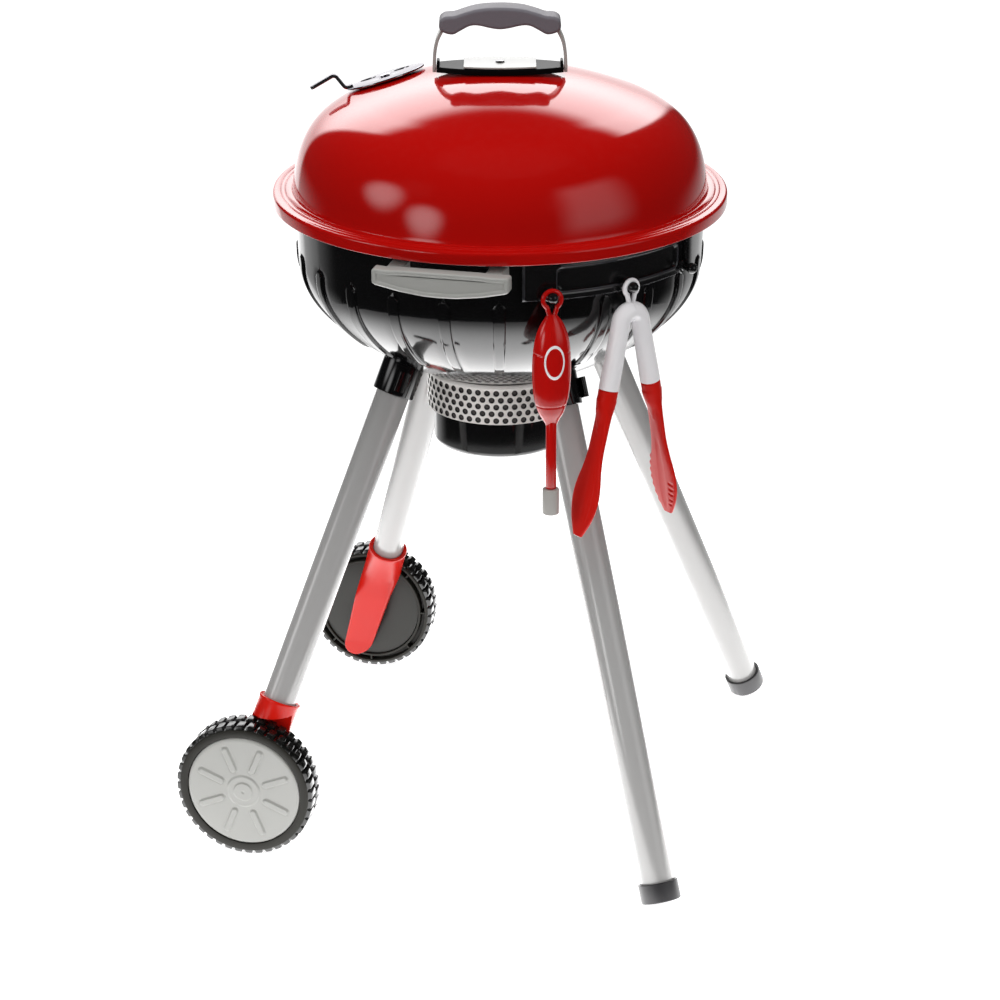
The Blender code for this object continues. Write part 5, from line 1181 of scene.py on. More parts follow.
# Each ring of a hole: its radius, and how deep it lies
HOLE_RINGS = ((HOLE_RADIUS + 0.00020, 0.0), (HOLE_RADIUS + 0.00006, 0.00006), (HOLE_RADIUS, 0.0002),
              (HOLE_RADIUS - 0.0001, HOLE_DEPTH), (HOLE_RADIUS * 0.56, HOLE_DEPTH),
              (HOLE_RADIUS * 0.46, HOLE_DEPTH - 0.0003))
HOLE_LOOKS = (0, 0, 0, 1, 1, 2)
CELL_CORNERS = ((2, 0), (2, 1), (2, 2), (1, 2), (0, 2), (-1, 2), (-2, 2), (-2, 1),
                (-2, 0), (-2, -1), (-2, -2), (-1, -2), (0, -2), (1, -2), (2, -2), (2, -1))


def make_band():
    low, high = BAND_LOW + 0.0004, BAND_LIP_LOW - 0.0002
    tall = (high - low) / HOLE_ROWS
    wide = TAU * BAND_RADIUS / HOLES_ROUND
    bm = bmesh.new()

    def at(u, z, depth=0.0):
        return bm.verts.new(kettle_place() @ polar(BAND_RADIUS - depth, u / BAND_RADIUS, z))

    for row in range(HOLE_ROWS):
        for column in range(HOLES_ROUND):
            u = (column + 0.5 * (row % 2)) * wide
            z = low + (row + 0.5) * tall
            layers = [[at(u + a * wide / 4, z + b * tall / 4) for a, b in CELL_CORNERS]]
            for radius, depth in HOLE_RINGS:
                layers.append([at(x, y, depth) for x, y in circle(radius, HOLE_SIDES, (u, z))])
            for look, outer, inner in zip(HOLE_LOOKS, layers, layers[1:]):
                for k in range(HOLE_SIDES):
                    j = (k + 1) % HOLE_SIDES
                    bm.faces.new((outer[k], outer[j], inner[j], inner[k])).material_index = look
            bm.faces.new(layers[-1]).material_index = 2
    inside = BAND_RADIUS - BAND_WALL
    bore = CUP_RADIUS + CLEARANCE
    seat = CUP_TOP + CLEARANCE
    profile = rounded([(BAND_RADIUS, high), (BAND_RADIUS, BAND_LIP_LOW), (BAND_LIP_RADIUS, BAND_LIP_LOW),
                       (BAND_LIP_RADIUS, BAND_TOP), (inside, BAND_TOP), (inside, seat), (bore, seat),
                       (bore, BAND_LOW), (BAND_RADIUS, BAND_LOW), (BAND_RADIUS, low)],
                      0.0003, 2, closed=False)
    lathe(profile, HOLES_ROUND * 4, closed=False, bm=bm)
    bmesh.ops.remove_doubles(bm, verts=bm.verts, dist=0.000004)
    new_piece("band", bm, "vent_band", "stand", ("vent_band",),
              looks=["vent_band", "dark_hole", "hole_centre"])


def make_cup():
    bore = CUP_RADIUS - CUP_WALL
    floor = CUP_LOW + CUP_WALL
    profile = rounded([(0.0, floor, 0.0), (bore, floor, 0.0020), (bore, CUP_TOP, 0.0005),
                       (CUP_RADIUS, CUP_TOP, 0.0005), (CUP_RADIUS, CUP_LOW, 0.0035), (0.0, CUP_LOW, 0.0)],
                      0.0, 8, closed=False)
    new_piece("cup", turned(profile, 160), "black_gloss_plastic", "stand", ("ash_cup",))


make_band()
make_cup()


# Wheels

WHEEL_FACE = WHEEL_WIDTH / 2
TREAD_BASE = WHEEL_RADIUS - 0.0026
HUBCAP_RADIUS = TREAD_BASE - 0.0056
RING_OUTER = TREAD_BASE - 0.0023
RING_INNER = HUBCAP_RADIUS - 0.0018
SEAT = WHEEL_FACE - 0.0030
WEB = SEAT - 0.0040
RECESS = 0.0060 - WHEEL_FACE
HUB_RADIUS = 0.0080
HUB_END = 0.0015 - WHEEL_FACE
AXLE_BORE = 0.0033
AXLE_RADIUS = 0.0030
RETAINER_RADIUS = 0.0060
RETAINER_HEIGHT = 0.0012
LUG_COUNT = 40
LUG_SAMPLES = 12
LUG_ROW_OFFSET = 0.0053
# Across one row of lugs: the distance from its middle, and the share of the lug's height
LUG_EDGE = ((0.0047, 0.0), (0.00445, 0.55), (0.0041, 0.90), (0.0036, 1.0))
BACK_RIB_COUNT = 8
BACK_RIB_REACH = 0.003
BACK_RIB_DEPTH = 0.0006
DISC_RADII = (0.0085, 0.0378)
SPOKE_COUNT = 8
SPOKE_START = 0.0145
SPOKE_LENGTH = 0.0200
SPOKE_WIDTH = 0.0052
SPOKE_HEIGHT = 0.0013
# Steps down from the hubcap's middle: the rise inside each, and the radii where it starts and ends
BOSS_STEPS = ((0.0007, 0.0111, 0.0120), (0.0009, 0.0060, 0.0070), (-0.0003, 0.0004, 0.0010))
BOSS_LINE = (0.0096, 0.0100, 0.0106, 0.0110)
SPOKE_LINE = (0.0, 0.0003, 0.0006, 0.0010)
FINE_LINE = 0.00012
# Round the hubcap's edge: the distance in from its rim, and the drop from its face
COVER_EDGE = ((0.0016, 0.0001), (0.0010, 0.0003), (0.0004, 0.0006), (0.0, 0.0012))


def wheel_place(position):
    return (Matrix.Translation(WHEEL_CENTRES[position])
            @ Matrix.Rotation(-outward(position) * math.pi / 2, 4, "X"))


def lug_height(row, sample):
    """The share of a lug's height at one sample round the tyre; the two rows are staggered."""
    phase = (sample - row * 3) % LUG_SAMPLES
    away = min(phase, LUG_SAMPLES - phase)
    return 1.0 if away <= 3 else 0.86 if away == 4 else 0.06


def make_tyre(position):
    face, back, base = WHEEL_FACE, -WHEEL_FACE, TREAD_BASE
    across = [*LUG_EDGE, (0.0, 1.0), *((-offset, lift) for offset, lift in reversed(LUG_EDGE))]
    lugs = [(row, offset, lift) for row in (1, -1) for offset, lift in across]
    before = rounded([(RING_INNER, back), (RING_INNER, WEB), (HUB_RADIUS, WEB), (HUB_RADIUS, HUB_END),
                      (AXLE_BORE, HUB_END), (AXLE_BORE, SEAT), (HUBCAP_RADIUS, SEAT), (HUBCAP_RADIUS, face),
                      (base, face, 0.0010), (base, 0.0)], 0.0004, 2, closed=False)[1:-1]
    after = rounded([(base, 0.0), (base, back, 0.0010), (RING_OUTER, back), (RING_OUTER, RECESS),
                     (HUBCAP_RADIUS, RECESS), (HUBCAP_RADIUS, back), (RING_INNER, back), (RING_INNER, WEB)],
                    0.0004, 2, closed=False)[1:-1]
    profile = before + [(base, row * LUG_ROW_OFFSET + offset) for row, offset, lift in lugs] + after
    count = LUG_COUNT * LUG_SAMPLES
    rib_samples = count // BACK_RIB_COUNT

    def shape(angle, index, r, z):
        sample = round(angle / TAU * count)
        lug = index - len(before)
        if 0 <= lug < len(lugs):
            row, offset, lift = lugs[lug]
            return r + (WHEEL_RADIUS - TREAD_BASE) * lift * lug_height(row, sample), z
        if back + BACK_RIB_REACH < z < RECESS + 0.001 and HUBCAP_RADIUS < r < RING_OUTER:
            rib = sample % rib_samples
            if min(rib, rib_samples - rib) <= 1:
                return r, back + BACK_RIB_DEPTH
        return r, z

    bm = lathe(profile, count, wheel_place(position), shape=shape)
    from_axle = wheel_place(position).inverted()

    def is_tread(middle):
        middle = from_axle @ middle
        return math.hypot(middle.x, middle.y) > TREAD_BASE - 0.0001 and abs(middle.z) < WHEEL_FACE - 0.0008

    paint(bm, 1, is_tread)
    new_piece("wheel_tyre_" + position, bm, "tyre_black_plastic", "wheel_" + position, ("tyre_" + position,),
              32.0, looks=["tyre_black_plastic", "tread_gloss"])


def hubcap_height(r, angle):
    """How high the hubcap's outer face stands at a place, from its spokes and its boss."""
    z = WHEEL_FACE + sum(rise * (1 - smoothstep(r, start, end)) for rise, start, end in BOSS_STEPS)
    z += FINE_LINE * hump(r, *BOSS_LINE)
    pitch = TAU / SPOKE_COUNT
    turn = (angle % pitch) - pitch / 2
    along = r * math.cos(turn) - SPOKE_START - SPOKE_LENGTH / 2
    across = r * math.sin(turn)
    far = max(abs(along) - (SPOKE_LENGTH - SPOKE_WIDTH) / 2, 0.0)
    edge = math.hypot(far, across) - SPOKE_WIDTH / 2
    z += SPOKE_HEIGHT * (1 - smoothstep(edge, -0.0010, 0.0))
    return z - FINE_LINE * hump(edge, *SPOKE_LINE)


def make_hubcap(position):
    radius = HUBCAP_RADIUS - CLEARANCE
    low = SEAT + CLEARANCE
    pocket = low + 0.0015
    radii = [0.0, 0.0003, 0.0006, 0.0010, 0.0020] + [0.0035 + i * 0.00052 for i in range(67)]
    profile = [(r, WHEEL_FACE) for r in radii if r < radius - 0.0018]
    relief = len(profile)
    profile += [(radius - inset, WHEEL_FACE - drop) for inset, drop in COVER_EDGE]
    profile += [(radius, low), (RETAINER_RADIUS + 0.0006, low), (RETAINER_RADIUS + 0.0003, pocket),
                (0.0, pocket)]

    def shape(angle, index, r, z):
        return (r, hubcap_height(r, angle)) if index < relief else (r, z)

    bm = lathe(profile, 384, wheel_place(position), closed=False, shape=shape)
    new_piece("wheel_cover_" + position, bm, "silver_grey_plastic", "wheel_" + position,
              ("hubcap_" + position,), 40.0)


def make_back_disc(position):
    high = 0.0035 - WHEEL_FACE
    low = high - 0.0020
    inner, outer = DISC_RADII
    bm = lathe(rounded([(inner, high), (inner, low), (outer, low), (outer, high)], 0.0004, 3), 144,
               wheel_place(position))
    new_piece("wheel_disc_" + position, bm, "dark_grey_plastic", "wheel_" + position,
              ("wheel_back_disc_" + position,))


def make_axle(position):
    head = SEAT + CLEARANCE
    top = head + RETAINER_HEIGHT
    end = -WHEEL_FACE - 0.0048
    profile = [(0.0, top), (RETAINER_RADIUS - 0.0006, top), (RETAINER_RADIUS, head + 0.0007),
               (RETAINER_RADIUS, head), (AXLE_RADIUS, head), (AXLE_RADIUS, end), (0.0, end)]
    new_piece("wheel_axle_" + position, turned(profile, 48, wheel_place(position)), "axle", "stand",
              ("axle_" + position,), 50.0)


# Wheel brackets

COLLAR_RADIUS = 0.0142
COLLAR_END = COLLAR_INSERT + 0.0035
COLLAR_FADE = 0.0200
COLLAR_SIDES = 96
# The collar's mouth: how far below the highest place each ring lies, and its radius past the collar's
MOUTH_RINGS = ((0.0004, -0.0010), (0.0, -0.0004), (0.0003, 0.0002), (0.0012, 0.0004), (0.0022, 0.0),
               (COLLAR_END, 0.0))
TONGUE_TOP = 0.0938
TONGUE_START = 0.0610
TONGUE_END = WHEEL_RADIUS - 0.0376
TONGUE_ROUND = 0.0110
TONGUE_STEPS = 12
TONGUE_WIDENING = 0.0080
TONGUE_THICKNESS = 0.0036
TONGUE_THICKENING = 0.0139
TONGUE_POWER = 7.0


def make_bracket(position):
    place = leg_place(position)
    out = outward(position)
    face = abs(WHEEL_CENTRES[position].y) - WHEEL_FACE - BRACKET_GAP
    mouth = -distance_down(MOUTH_HEIGHT)
    straight = TONGUE_END + TONGUE_ROUND
    angles = [i * TAU / COLLAR_SIDES for i in range(COLLAR_SIDES)]

    def round_ring(down, radius=COLLAR_RADIUS):
        return [place @ polar(radius, a - LEGS[position], mouth - down) for a in angles]

    def flat_ring(z):
        """A slice of the tongue at a height, squared off, with a round lower end."""
        share = max(0.0, (z - straight) / (TONGUE_TOP - straight))
        wide = 2 * TONGUE_ROUND + TONGUE_WIDENING * share
        thick = TONGUE_THICKNESS + TONGUE_THICKENING * share
        if z < straight:
            wide = 2 * math.sqrt(max(TONGUE_ROUND ** 2 - (straight - z) ** 2, 1e-8))
        x = KETTLE_X - math.cos(LEG_AZIMUTH) * (SOCKET_OFFSET + LEG_SLOPE * (SOCKET_HEIGHT - z))
        y = out * (face - thick / 2)
        return [Vector((x + squared(math.cos(a), TONGUE_POWER) * wide / 2,
                        y + squared(math.sin(a), TONGUE_POWER) * thick / 2, z)) for a in angles]

    sections = [round_ring(down, COLLAR_RADIUS + grow) for down, grow in MOUTH_RINGS]
    steps = [i / TONGUE_STEPS for i in range(1, TONGUE_STEPS + 1)]
    for share in steps:
        upper = round_ring(COLLAR_END + COLLAR_FADE * share)
        lower = flat_ring(TONGUE_START + COLLAR_FADE * (1 - share))
        sections.append([a.lerp(b, smoothstep(share, 0.0, 1.0)) for a, b in zip(upper, lower)])
    sections += [flat_ring(TONGUE_START - (TONGUE_START - straight) * share) for share in steps]
    sections += [flat_ring(TONGUE_END + TONGUE_ROUND * (1 - math.sin(math.radians(a))))
                 for a in (12, 25, 38, 50, 62, 72, 80, 86, 89)]
    bm = carve(loft(sections), wheel_side_block(position, 0.0))
    bore = TUBE_RADIUS + CLEARANCE
    top, end = mouth + 0.01, mouth - COLLAR_INSERT - CLEARANCE
    cutter = turned([(0.0, top), (bore, top), (bore, end), (0.0, end)], 96, place)
    bm = carve(bm, carve(cutter, wheel_side_block(position, COLLAR_WALL)))
    new_piece("bracket_" + position, bm, "tool_red_plastic", "stand", ("wheel_bracket_" + position,), 42.0)


for wheel in WHEEL_CENTRES:
    make_tyre(wheel)
    make_hubcap(wheel)
    make_back_disc(wheel)
    make_axle(wheel)
    make_bracket(wheel)


# Cooking grate and coals

GRATE_RADIUS = 0.1344
GRATE_THICKNESS = 0.0030
GRATE_MARGIN = 0.0060
BAR_PITCH = 0.0140
SLOT_WIDTH = 0.0095
COAL_TOP = RIM_HEIGHT - 0.0640
COAL_LOW = COAL_TOP - 0.0080
COAL_GAP = 0.0029
COAL_ROWS = 46
COAL_COUNT = 13
COAL_SIZE = (0.0135, 0.0108)
COAL_HEIGHT = 0.0068
COAL_SPREAD = math.radians(137.5)


def make_grate():
    low = LEDGE_TOP + CLEARANCE
    high = low + GRATE_THICKNESS
    reach = GRATE_RADIUS - GRATE_MARGIN - LEDGE_WIDTH
    bm = turned(rounded([(0.0, low, 0.0), (GRATE_RADIUS, low), (GRATE_RADIUS, high), (0.0, high, 0.0)],
                        0.0006, 3, closed=False), 160)
    cutter = bmesh.new()
    count = int(2 * reach / BAR_PITCH)
    for i in range(count):
        y = (i - (count - 1) / 2) * BAR_PITCH
        half = math.sqrt(reach ** 2 - (abs(y) + SLOT_WIDTH / 2) ** 2)
        slot = block(2 * half, SLOT_WIDTH, 0.0035, 5, (0.0, y))
        prism(kettle_place(), slot, low - 0.002, low + 0.005, cutter)
    new_piece("grate_plate", carve(bm, cutter), "grate_grey_plastic", "grate", ("cooking_grate",))


def make_coals():
    edge = bowl_radius(COAL_TOP) - COAL_GAP
    reach = edge * 0.86 - 0.0065
    long, short = COAL_SIZE
    coals = []
    for i in range(COAL_COUNT):
        spot = polar(reach * math.sqrt((i + 0.5) / COAL_COUNT), COAL_SPREAD * i)
        coals.append((spot.x, spot.y, i * 1.1))

    def shape(angle, index, r, z):
        if index > COAL_ROWS or r > edge - 0.002:
            return r, z
        x, y = r * math.cos(angle), r * math.sin(angle)
        high = 0.0
        for u, v, turn in coals:
            dx, dy = x - u, y - v
            along = (dx * math.cos(turn) + dy * math.sin(turn)) / long
            across = (dy * math.cos(turn) - dx * math.sin(turn)) / short
            far = (abs(along) ** 3 + abs(across) ** 3) ** (1 / 3)
            tilt = 1 + 0.18 * along + 0.12 * math.sin(turn * 3) * across
            high = max(high, COAL_HEIGHT * tilt * max(0.0, 1 - far ** 3) ** 0.5)
        ripple = 0.0004 * math.sin(x * 900) * math.sin(y * 780 + 1.3)
        return r, z + high + ripple

    profile = [(edge * i / COAL_ROWS, COAL_TOP) for i in range(COAL_ROWS + 1)]
    profile += [(bowl_radius(z) - COAL_GAP, z)
                for z in (COAL_TOP - 0.001, (COAL_TOP + COAL_LOW) / 2, COAL_LOW + 0.0005)]
    profile += [(bowl_radius(COAL_LOW) - COAL_GAP - 0.0006, COAL_LOW), (0.0, COAL_LOW)]
    bm = lathe(profile, 224, closed=False, shape=shape)
    new_piece("coals", bm, "coal_black_plastic", "stand", ("coal_bed",), 40.0)


make_grate()
make_coals()


# Hanging tools

TOOL_PLANE = 0.1483
LOOP_WIRE = 0.0016
LOOP_GAP = math.radians(35)
LOOP_FOOT = (0.0012, 0.0006)


def tool_place(angle):
    """A tool's frame on its peg, with local Y pointing at the bowl."""
    azimuth = RACK_AZIMUTH + math.radians(angle)
    spot = polar(TOOL_PLANE, azimuth, PEG_HEIGHT)
    return kettle_place(spot.x, spot.y, spot.z, (0.0, 0.0, azimuth + math.pi / 2))


def hanging_loop(place, radius, centre, low):
    """A wire loop whose two ends meet on the tool."""
    points = []
    for i in range(41):
        a = -math.pi / 2 + LOOP_GAP + (TAU - 2 * LOOP_GAP) * i / 40
        points.append((radius * math.cos(a), centre + radius * math.sin(a)))
    x, z = LOOP_FOOT[0], low + LOOP_FOOT[1]
    points = (smooth_line([points[-1], (-x, z)], 4)[1:] + [(0.0, low)]
              + smooth_line([(x, z), points[0]], 4)[:-1] + points)
    return tube([(x, 0.0, z) for x, z in points], [LOOP_WIRE] * len(points), 20, place, ring=True)


IGNITER_TOP = -0.0110
IGNITER_LENGTH = 0.0745
IGNITER_LOW = IGNITER_TOP - IGNITER_LENGTH
IGNITER_RADIUS = 0.0124
IGNITER_FLATNESS = 0.72
BODY_SHARES = ((0.0, 0.22), (0.06, 0.48), (0.16, 0.76), (0.30, 0.94), (0.45, 1.0), (0.60, 0.99), (0.75, 0.90),
               (0.88, 0.68), (0.96, 0.42), (1.0, 0.30))
SEAM_HEIGHTS = (-0.0365, -0.0720)
SEAM_DEPTH = 0.00035
SEAM_WIDTH = 0.00045
PARTING_HEIGHT = 0.0003
IGNITER_LOOP = (0.0058, -0.0017)
ROD_RADIUS = 0.0035
ROD_LOW = IGNITER_LOW - 0.0440
TIP_HIGH = ROD_LOW - CLEARANCE
TIP_RADIUS = 0.0054
TIP_LENGTH = 0.0172
LABEL_HEIGHT = -0.0410
LABEL_SIZE = (0.0070, 0.01175)
LABEL_SIDES = 72
LABEL_BACK = 0.0008
# Rings of the label: the share of its size, the height over the body, and the finish inside the ring
LABEL_RINGS = ((0.0, 0.0001, 0), (0.3, 0.0001, 0), (0.6, 0.0001, 0), (0.80, 0.0001, 0), (0.815, 0.0002, 1),
               (0.83, 0.0003, 1), (0.93, 0.0003, 1), (0.945, 0.0002, 1), (0.96, 0.0001, 1), (1.0, -0.0001, 0))


def igniter_profile():
    line = smooth_line([(z, r) for z, r in BODY_SHARES], 18)
    return [(IGNITER_RADIUS * r, IGNITER_TOP - IGNITER_LENGTH * z) for z, r in line]


def igniter_radius(height):
    line = igniter_profile()
    return radius_at(line, height, line[-1][0])


def make_lighter_body(place):
    """The flattened body with its seams round it and its parting line along it, joined to its loop."""
    line = []
    for r, z in igniter_profile():
        cut = sum(SEAM_DEPTH * math.exp(-((z - seam) / SEAM_WIDTH) ** 2) for seam in SEAM_HEIGHTS)
        line.append((r - cut, z))
    profile = [(0.0, IGNITER_TOP)] + line + [(0.0, line[-1][1])]

    def shape(angle, index, r, z):
        side = abs(math.sin(angle)) * r
        return r + PARTING_HEIGHT * (1 - smoothstep(side, 0.0005, 0.0010)) * smoothstep(r, 0.004, 0.007), z

    flat = place @ Matrix.Diagonal((1.0, IGNITER_FLATNESS, 1.0, 1.0))
    bm = lathe(profile, 144, flat, closed=False, shape=shape)
    bm = carve(bm, hanging_loop(place, *IGNITER_LOOP, IGNITER_TOP - 2 * LOOP_WIRE), "UNION")
    new_piece("lighter_body", bm, "tool_red_plastic", "igniter", ("igniter_body",), 40.0,
              looks=["lighter_red"])


def make_lighter_rod(place):
    high = igniter_profile()[-1][1] + 0.0050
    profile = rounded([(0.0, high, 0.0), (ROD_RADIUS, high), (ROD_RADIUS, ROD_LOW), (0.0, ROD_LOW, 0.0)],
                      0.0003, 2, closed=False)
    new_piece("lighter_rod", turned(profile, 48, place), "tool_red_plastic", "igniter", ("igniter_rod",),
              looks=["lighter_red"])


def make_lighter_tip(place):
    low = TIP_HIGH - TIP_LENGTH
    floor = TIP_HIGH - 0.0150
    profile = rounded([(0.0, TIP_HIGH, 0.0), (TIP_RADIUS, TIP_HIGH, 0.0008), (TIP_RADIUS, low, 0.0010),
                       (0.0042, low, 0.0004), (0.0038, floor, 0.0003), (0.0, floor, 0.0)],
                      0.0, 4, closed=False)
    new_piece("lighter_tip", turned(profile, 64, place), "tip_grey_plastic", "igniter", ("igniter_tip",))


def make_lighter_label(place):
    """A thin oval that follows the body, with a raised white line near its edge."""
    bm = bmesh.new()
    edges = []
    for back in (0.0, LABEL_BACK):
        layers = []
        for share, lift, _ in LABEL_RINGS:
            layer = []
            for k in range(LABEL_SIDES if share else 1):
                u = LABEL_SIZE[0] * share * math.cos(k * TAU / LABEL_SIDES)
                z = LABEL_HEIGHT + LABEL_SIZE[1] * share * math.sin(k * TAU / LABEL_SIDES)
                y = -math.sqrt(max(igniter_radius(z) ** 2 - u * u, 0.0)) * IGNITER_FLATNESS
                layer.append(bm.verts.new(place @ Vector((u, y - lift + back, z))))
            layers.append(layer)
        for inner, outer, (_, _, look) in zip(layers, layers[1:], LABEL_RINGS[1:]):
            for k in range(LABEL_SIDES):
                a, b = inner[k % len(inner)], inner[(k + 1) % len(inner)]
                corners = [a, outer[k], outer[(k + 1) % LABEL_SIDES]] + ([b] if b is not a else [])
                bm.faces.new(corners).material_index = 0 if back else look
        edges.append(layers[-1])
    bridge(bm, *edges)
    new_piece("lighter_label", bm, "tool_red_plastic", "igniter", ("igniter_label",), 60.0,
              looks=["lighter_red", "tool_white_plastic"])


LIGHTER_PLACE = tool_place(PEG_TURNS[0])
make_lighter_body(LIGHTER_PLACE)
make_lighter_rod(LIGHTER_PLACE)
make_lighter_tip(LIGHTER_PLACE)
make_lighter_label(LIGHTER_PLACE)


# Tongs

ARM_SPLAY = math.radians(11.8)
ARM_LENGTH = 0.0430
ARM_RADIUS = 0.0062
ARM_SWELL = 0.0004
BOW_BEND = 0.0076
BOW_CENTRE = -0.02385
BOW_STUB = 0.0020
HINGE_X = BOW_BEND * math.cos(ARM_SPLAY) + BOW_STUB * math.sin(ARM_SPLAY)
HINGE_Z = BOW_CENTRE + BOW_BEND * math.sin(ARM_SPLAY) - BOW_STUB * math.cos(ARM_SPLAY)
TONGS_LOOP = (0.0050, -0.0009)
TONGS_TOP = -0.00965
JAW_LENGTH = 0.1000
JAW_WIDTH = 0.0260
# Down the jaw: the share of its length, then half its thickness and half its width
JAW_SECTIONS = ((0.0, 0.0064, 0.0066), (0.06, 0.0062, 0.0065), (0.12, 0.0052, 0.0064), (0.20, 0.0032, 0.0067),
                (0.30, 0.0022, 0.0070), (0.42, 0.0018, 0.0074), (0.54, 0.0017, 0.0094),
                (0.62, 0.0016, 0.0116), (0.70, 0.0016, 0.0130), (0.78, 0.0016, 0.0129),
                (0.85, 0.0016, 0.0113), (0.92, 0.0015, 0.0086), (1.0, 0.0012, 0.0042))
JAW_END = (1.003, 0.0008, 0.0034)
JAW_SIDES = 72
SHIELD_HEIGHT = 0.0005
GROOVE_DEPTH = 0.0005
GROOVE_SHARE = 0.07
GROOVE_STEPS = (0.40, 0.48, 0.92, 0.98)
RIDGE_LIFT = 0.00025
RIDGE_PITCH_SHARE = 0.22
RIDGE_STEPS = (0.46, 0.58, 0.86, 0.95)
RIDGE_SIDES = (0.0, 0.2, 0.75, 0.9)
TEETH_SHARES = (0.575, 0.965)
TOOTH_COUNT = 7
TOOTH_HEIGHT = 0.0014
SLOT_COUNT = 5
SLOTS_START_SHARE = 0.74
SLOT_PITCH_SHARE = 0.042


def make_arm(side, name):
    place = tool_place(PEG_TURNS[1])
    path, radii = [], []
    for i in range(25):
        a = math.pi / 2 - (math.pi / 2 - ARM_SPLAY) * i / 24
        path.append(Vector((side * BOW_BEND * math.cos(a), 0.0, BOW_CENTRE + BOW_BEND * math.sin(a))))
        radii.append(ARM_RADIUS)
    down = Vector((side * math.sin(ARM_SPLAY), 0.0, -math.cos(ARM_SPLAY)))
    hinge = Vector((side * HINGE_X, 0.0, HINGE_Z))
    for i in range(31):
        path.append(hinge + down * ARM_LENGTH * (i / 30))
        radii.append(ARM_RADIUS + ARM_SWELL * smoothstep(i / 30, 0.2, 1.0))
    end = path[-1]
    path += [end + down * 0.0001, end + down * 0.00015]
    radii += [ARM_RADIUS, ARM_RADIUS - 0.0004]
    piece = new_piece("tongs_half_" + name, tube(path, radii, 48, place), "tool_white_plastic", None,
                      ("tongs_arm_" + name,), ride=False)
    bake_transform(piece)


def serrated_jaw(share, across, c, s):
    """How far the serrated jaw's ring moves across its face and along its edge."""
    x, y = 0.0, 0.0
    if c < 0:
        x = GROOVE_DEPTH * math.exp(-(across / GROOVE_SHARE) ** 2) * hump(share, *GROOVE_STEPS)
        slot = (share - SLOTS_START_SHARE) / SLOT_PITCH_SHARE
        if 0 <= slot < SLOT_COUNT and 0.2 < slot % 1 < 0.62 and -0.86 < across < -0.52:
            x += GROOVE_DEPTH
    first, last = TEETH_SHARES
    if s > 0.6 and first < share < last:
        phase = (share - first) / (last - first) * TOOTH_COUNT % 1
        y = TOOTH_HEIGHT * (1 - abs(2 * phase - 1)) * smoothstep(s, 0.6, 0.95)
    return x, y


def ridged_jaw(share, across, c, s):
    """The same for the plain jaw, which has only fine ridges on its face."""
    if c >= 0:
        return 0.0, 0.0
    ridges = 0.5 + 0.5 * math.cos((across + 0.25) * TAU / RIDGE_PITCH_SHARE)
    return -RIDGE_LIFT * ridges * hump(share, *RIDGE_STEPS) * hump(-across, *RIDGE_SIDES), 0.0


def make_jaw(side, name):
    place = (tool_place(PEG_TURNS[1]) @ Matrix.Translation((side * HINGE_X, 0.0, HINGE_Z))
             @ Matrix.Rotation(-side * ARM_SPLAY, 4, "Y"))
    low = -ARM_LENGTH - CLEARANCE
    relief = serrated_jaw if side > 0 else ridged_jaw
    _, thick, wide = JAW_SECTIONS[0]
    sections = [(0.0, thick * 0.90, wide * 0.90), (0.0004 / JAW_LENGTH, thick * 0.97, wide * 0.97)]
    sections += [(s + 0.0010 / JAW_LENGTH * (1 - s), x, y) for s, x, y in smooth_line(JAW_SECTIONS, 12)]
    rings = []
    for share, half_thick, half_wide in sections + [JAW_END]:
        shift = 0.20 * JAW_WIDTH * max(0.0, share - 0.20)
        power = 2.0 + 1.6 * smoothstep(share, 0.10, 0.40)
        ring = []
        for k in range(JAW_SIDES):
            c, s = math.cos(k * TAU / JAW_SIDES), math.sin(k * TAU / JAW_SIDES)
            across = squared(s, power)
            shield = smoothstep(1.02 - abs(across) - (share - 0.09) / 0.20, 0.0, 0.10)
            shield *= SHIELD_HEIGHT * smoothstep(share, 0.05, 0.07)
            x = squared(c, power) * half_thick + math.copysign(shield * abs(c), c)
            dx, dy = relief(share, across, c, s)
            ring.append(place @ Vector((x + dx, shift + across * half_wide + dy, low - share * JAW_LENGTH)))
        rings.append(ring)
    new_piece("tongs_blade_" + name, loft(rings), "tool_red_plastic", "tongs_" + name, ("tongs_jaw_" + name,),
              45.0, looks=["jaw_red"])


for tong_side, tong_name in ((-1, "left"), (1, "right")):
    make_arm(tong_side, tong_name)
    make_jaw(tong_side, tong_name)
new_piece("tongs_loop", hanging_loop(tool_place(PEG_TURNS[1]), *TONGS_LOOP, TONGS_TOP - 2 * LOOP_WIRE),
          "tool_white_plastic", "tongs", ("tongs_bow",))


# Camera

CAMERA_LENS = 111.24
CAMERA_AZIMUTH = math.radians(13.7)
CAMERA_PITCH = math.radians(22.0)
CAMERA_REACH = 2.0
CAMERA_HEIGHT = 1.0167


def make_camera():
    data = bpy.data.cameras.new("camera")
    data.lens = CAMERA_LENS
    data.sensor_width = 36.0
    data.clip_end = 20.0
    camera = add_object("camera", data)
    camera.location = (KETTLE_X + CAMERA_REACH * math.sin(CAMERA_AZIMUTH),
                       -CAMERA_REACH * math.cos(CAMERA_AZIMUTH), CAMERA_HEIGHT)
    camera.rotation_euler = (math.pi / 2 - CAMERA_PITCH, 0.0, CAMERA_AZIMUTH)
    bpy.context.scene.camera = camera
    bpy.context.scene.view_settings.view_transform = "Standard"


make_camera()


# Studio: a white backdrop behind, a dark room in front with soft spots, and a small pale floor

WHITE = (1.0, 1.0, 1.0, 1.0)
ROOM_GLOW = 0.03
WHITE_TO_CAMERA = 1.2
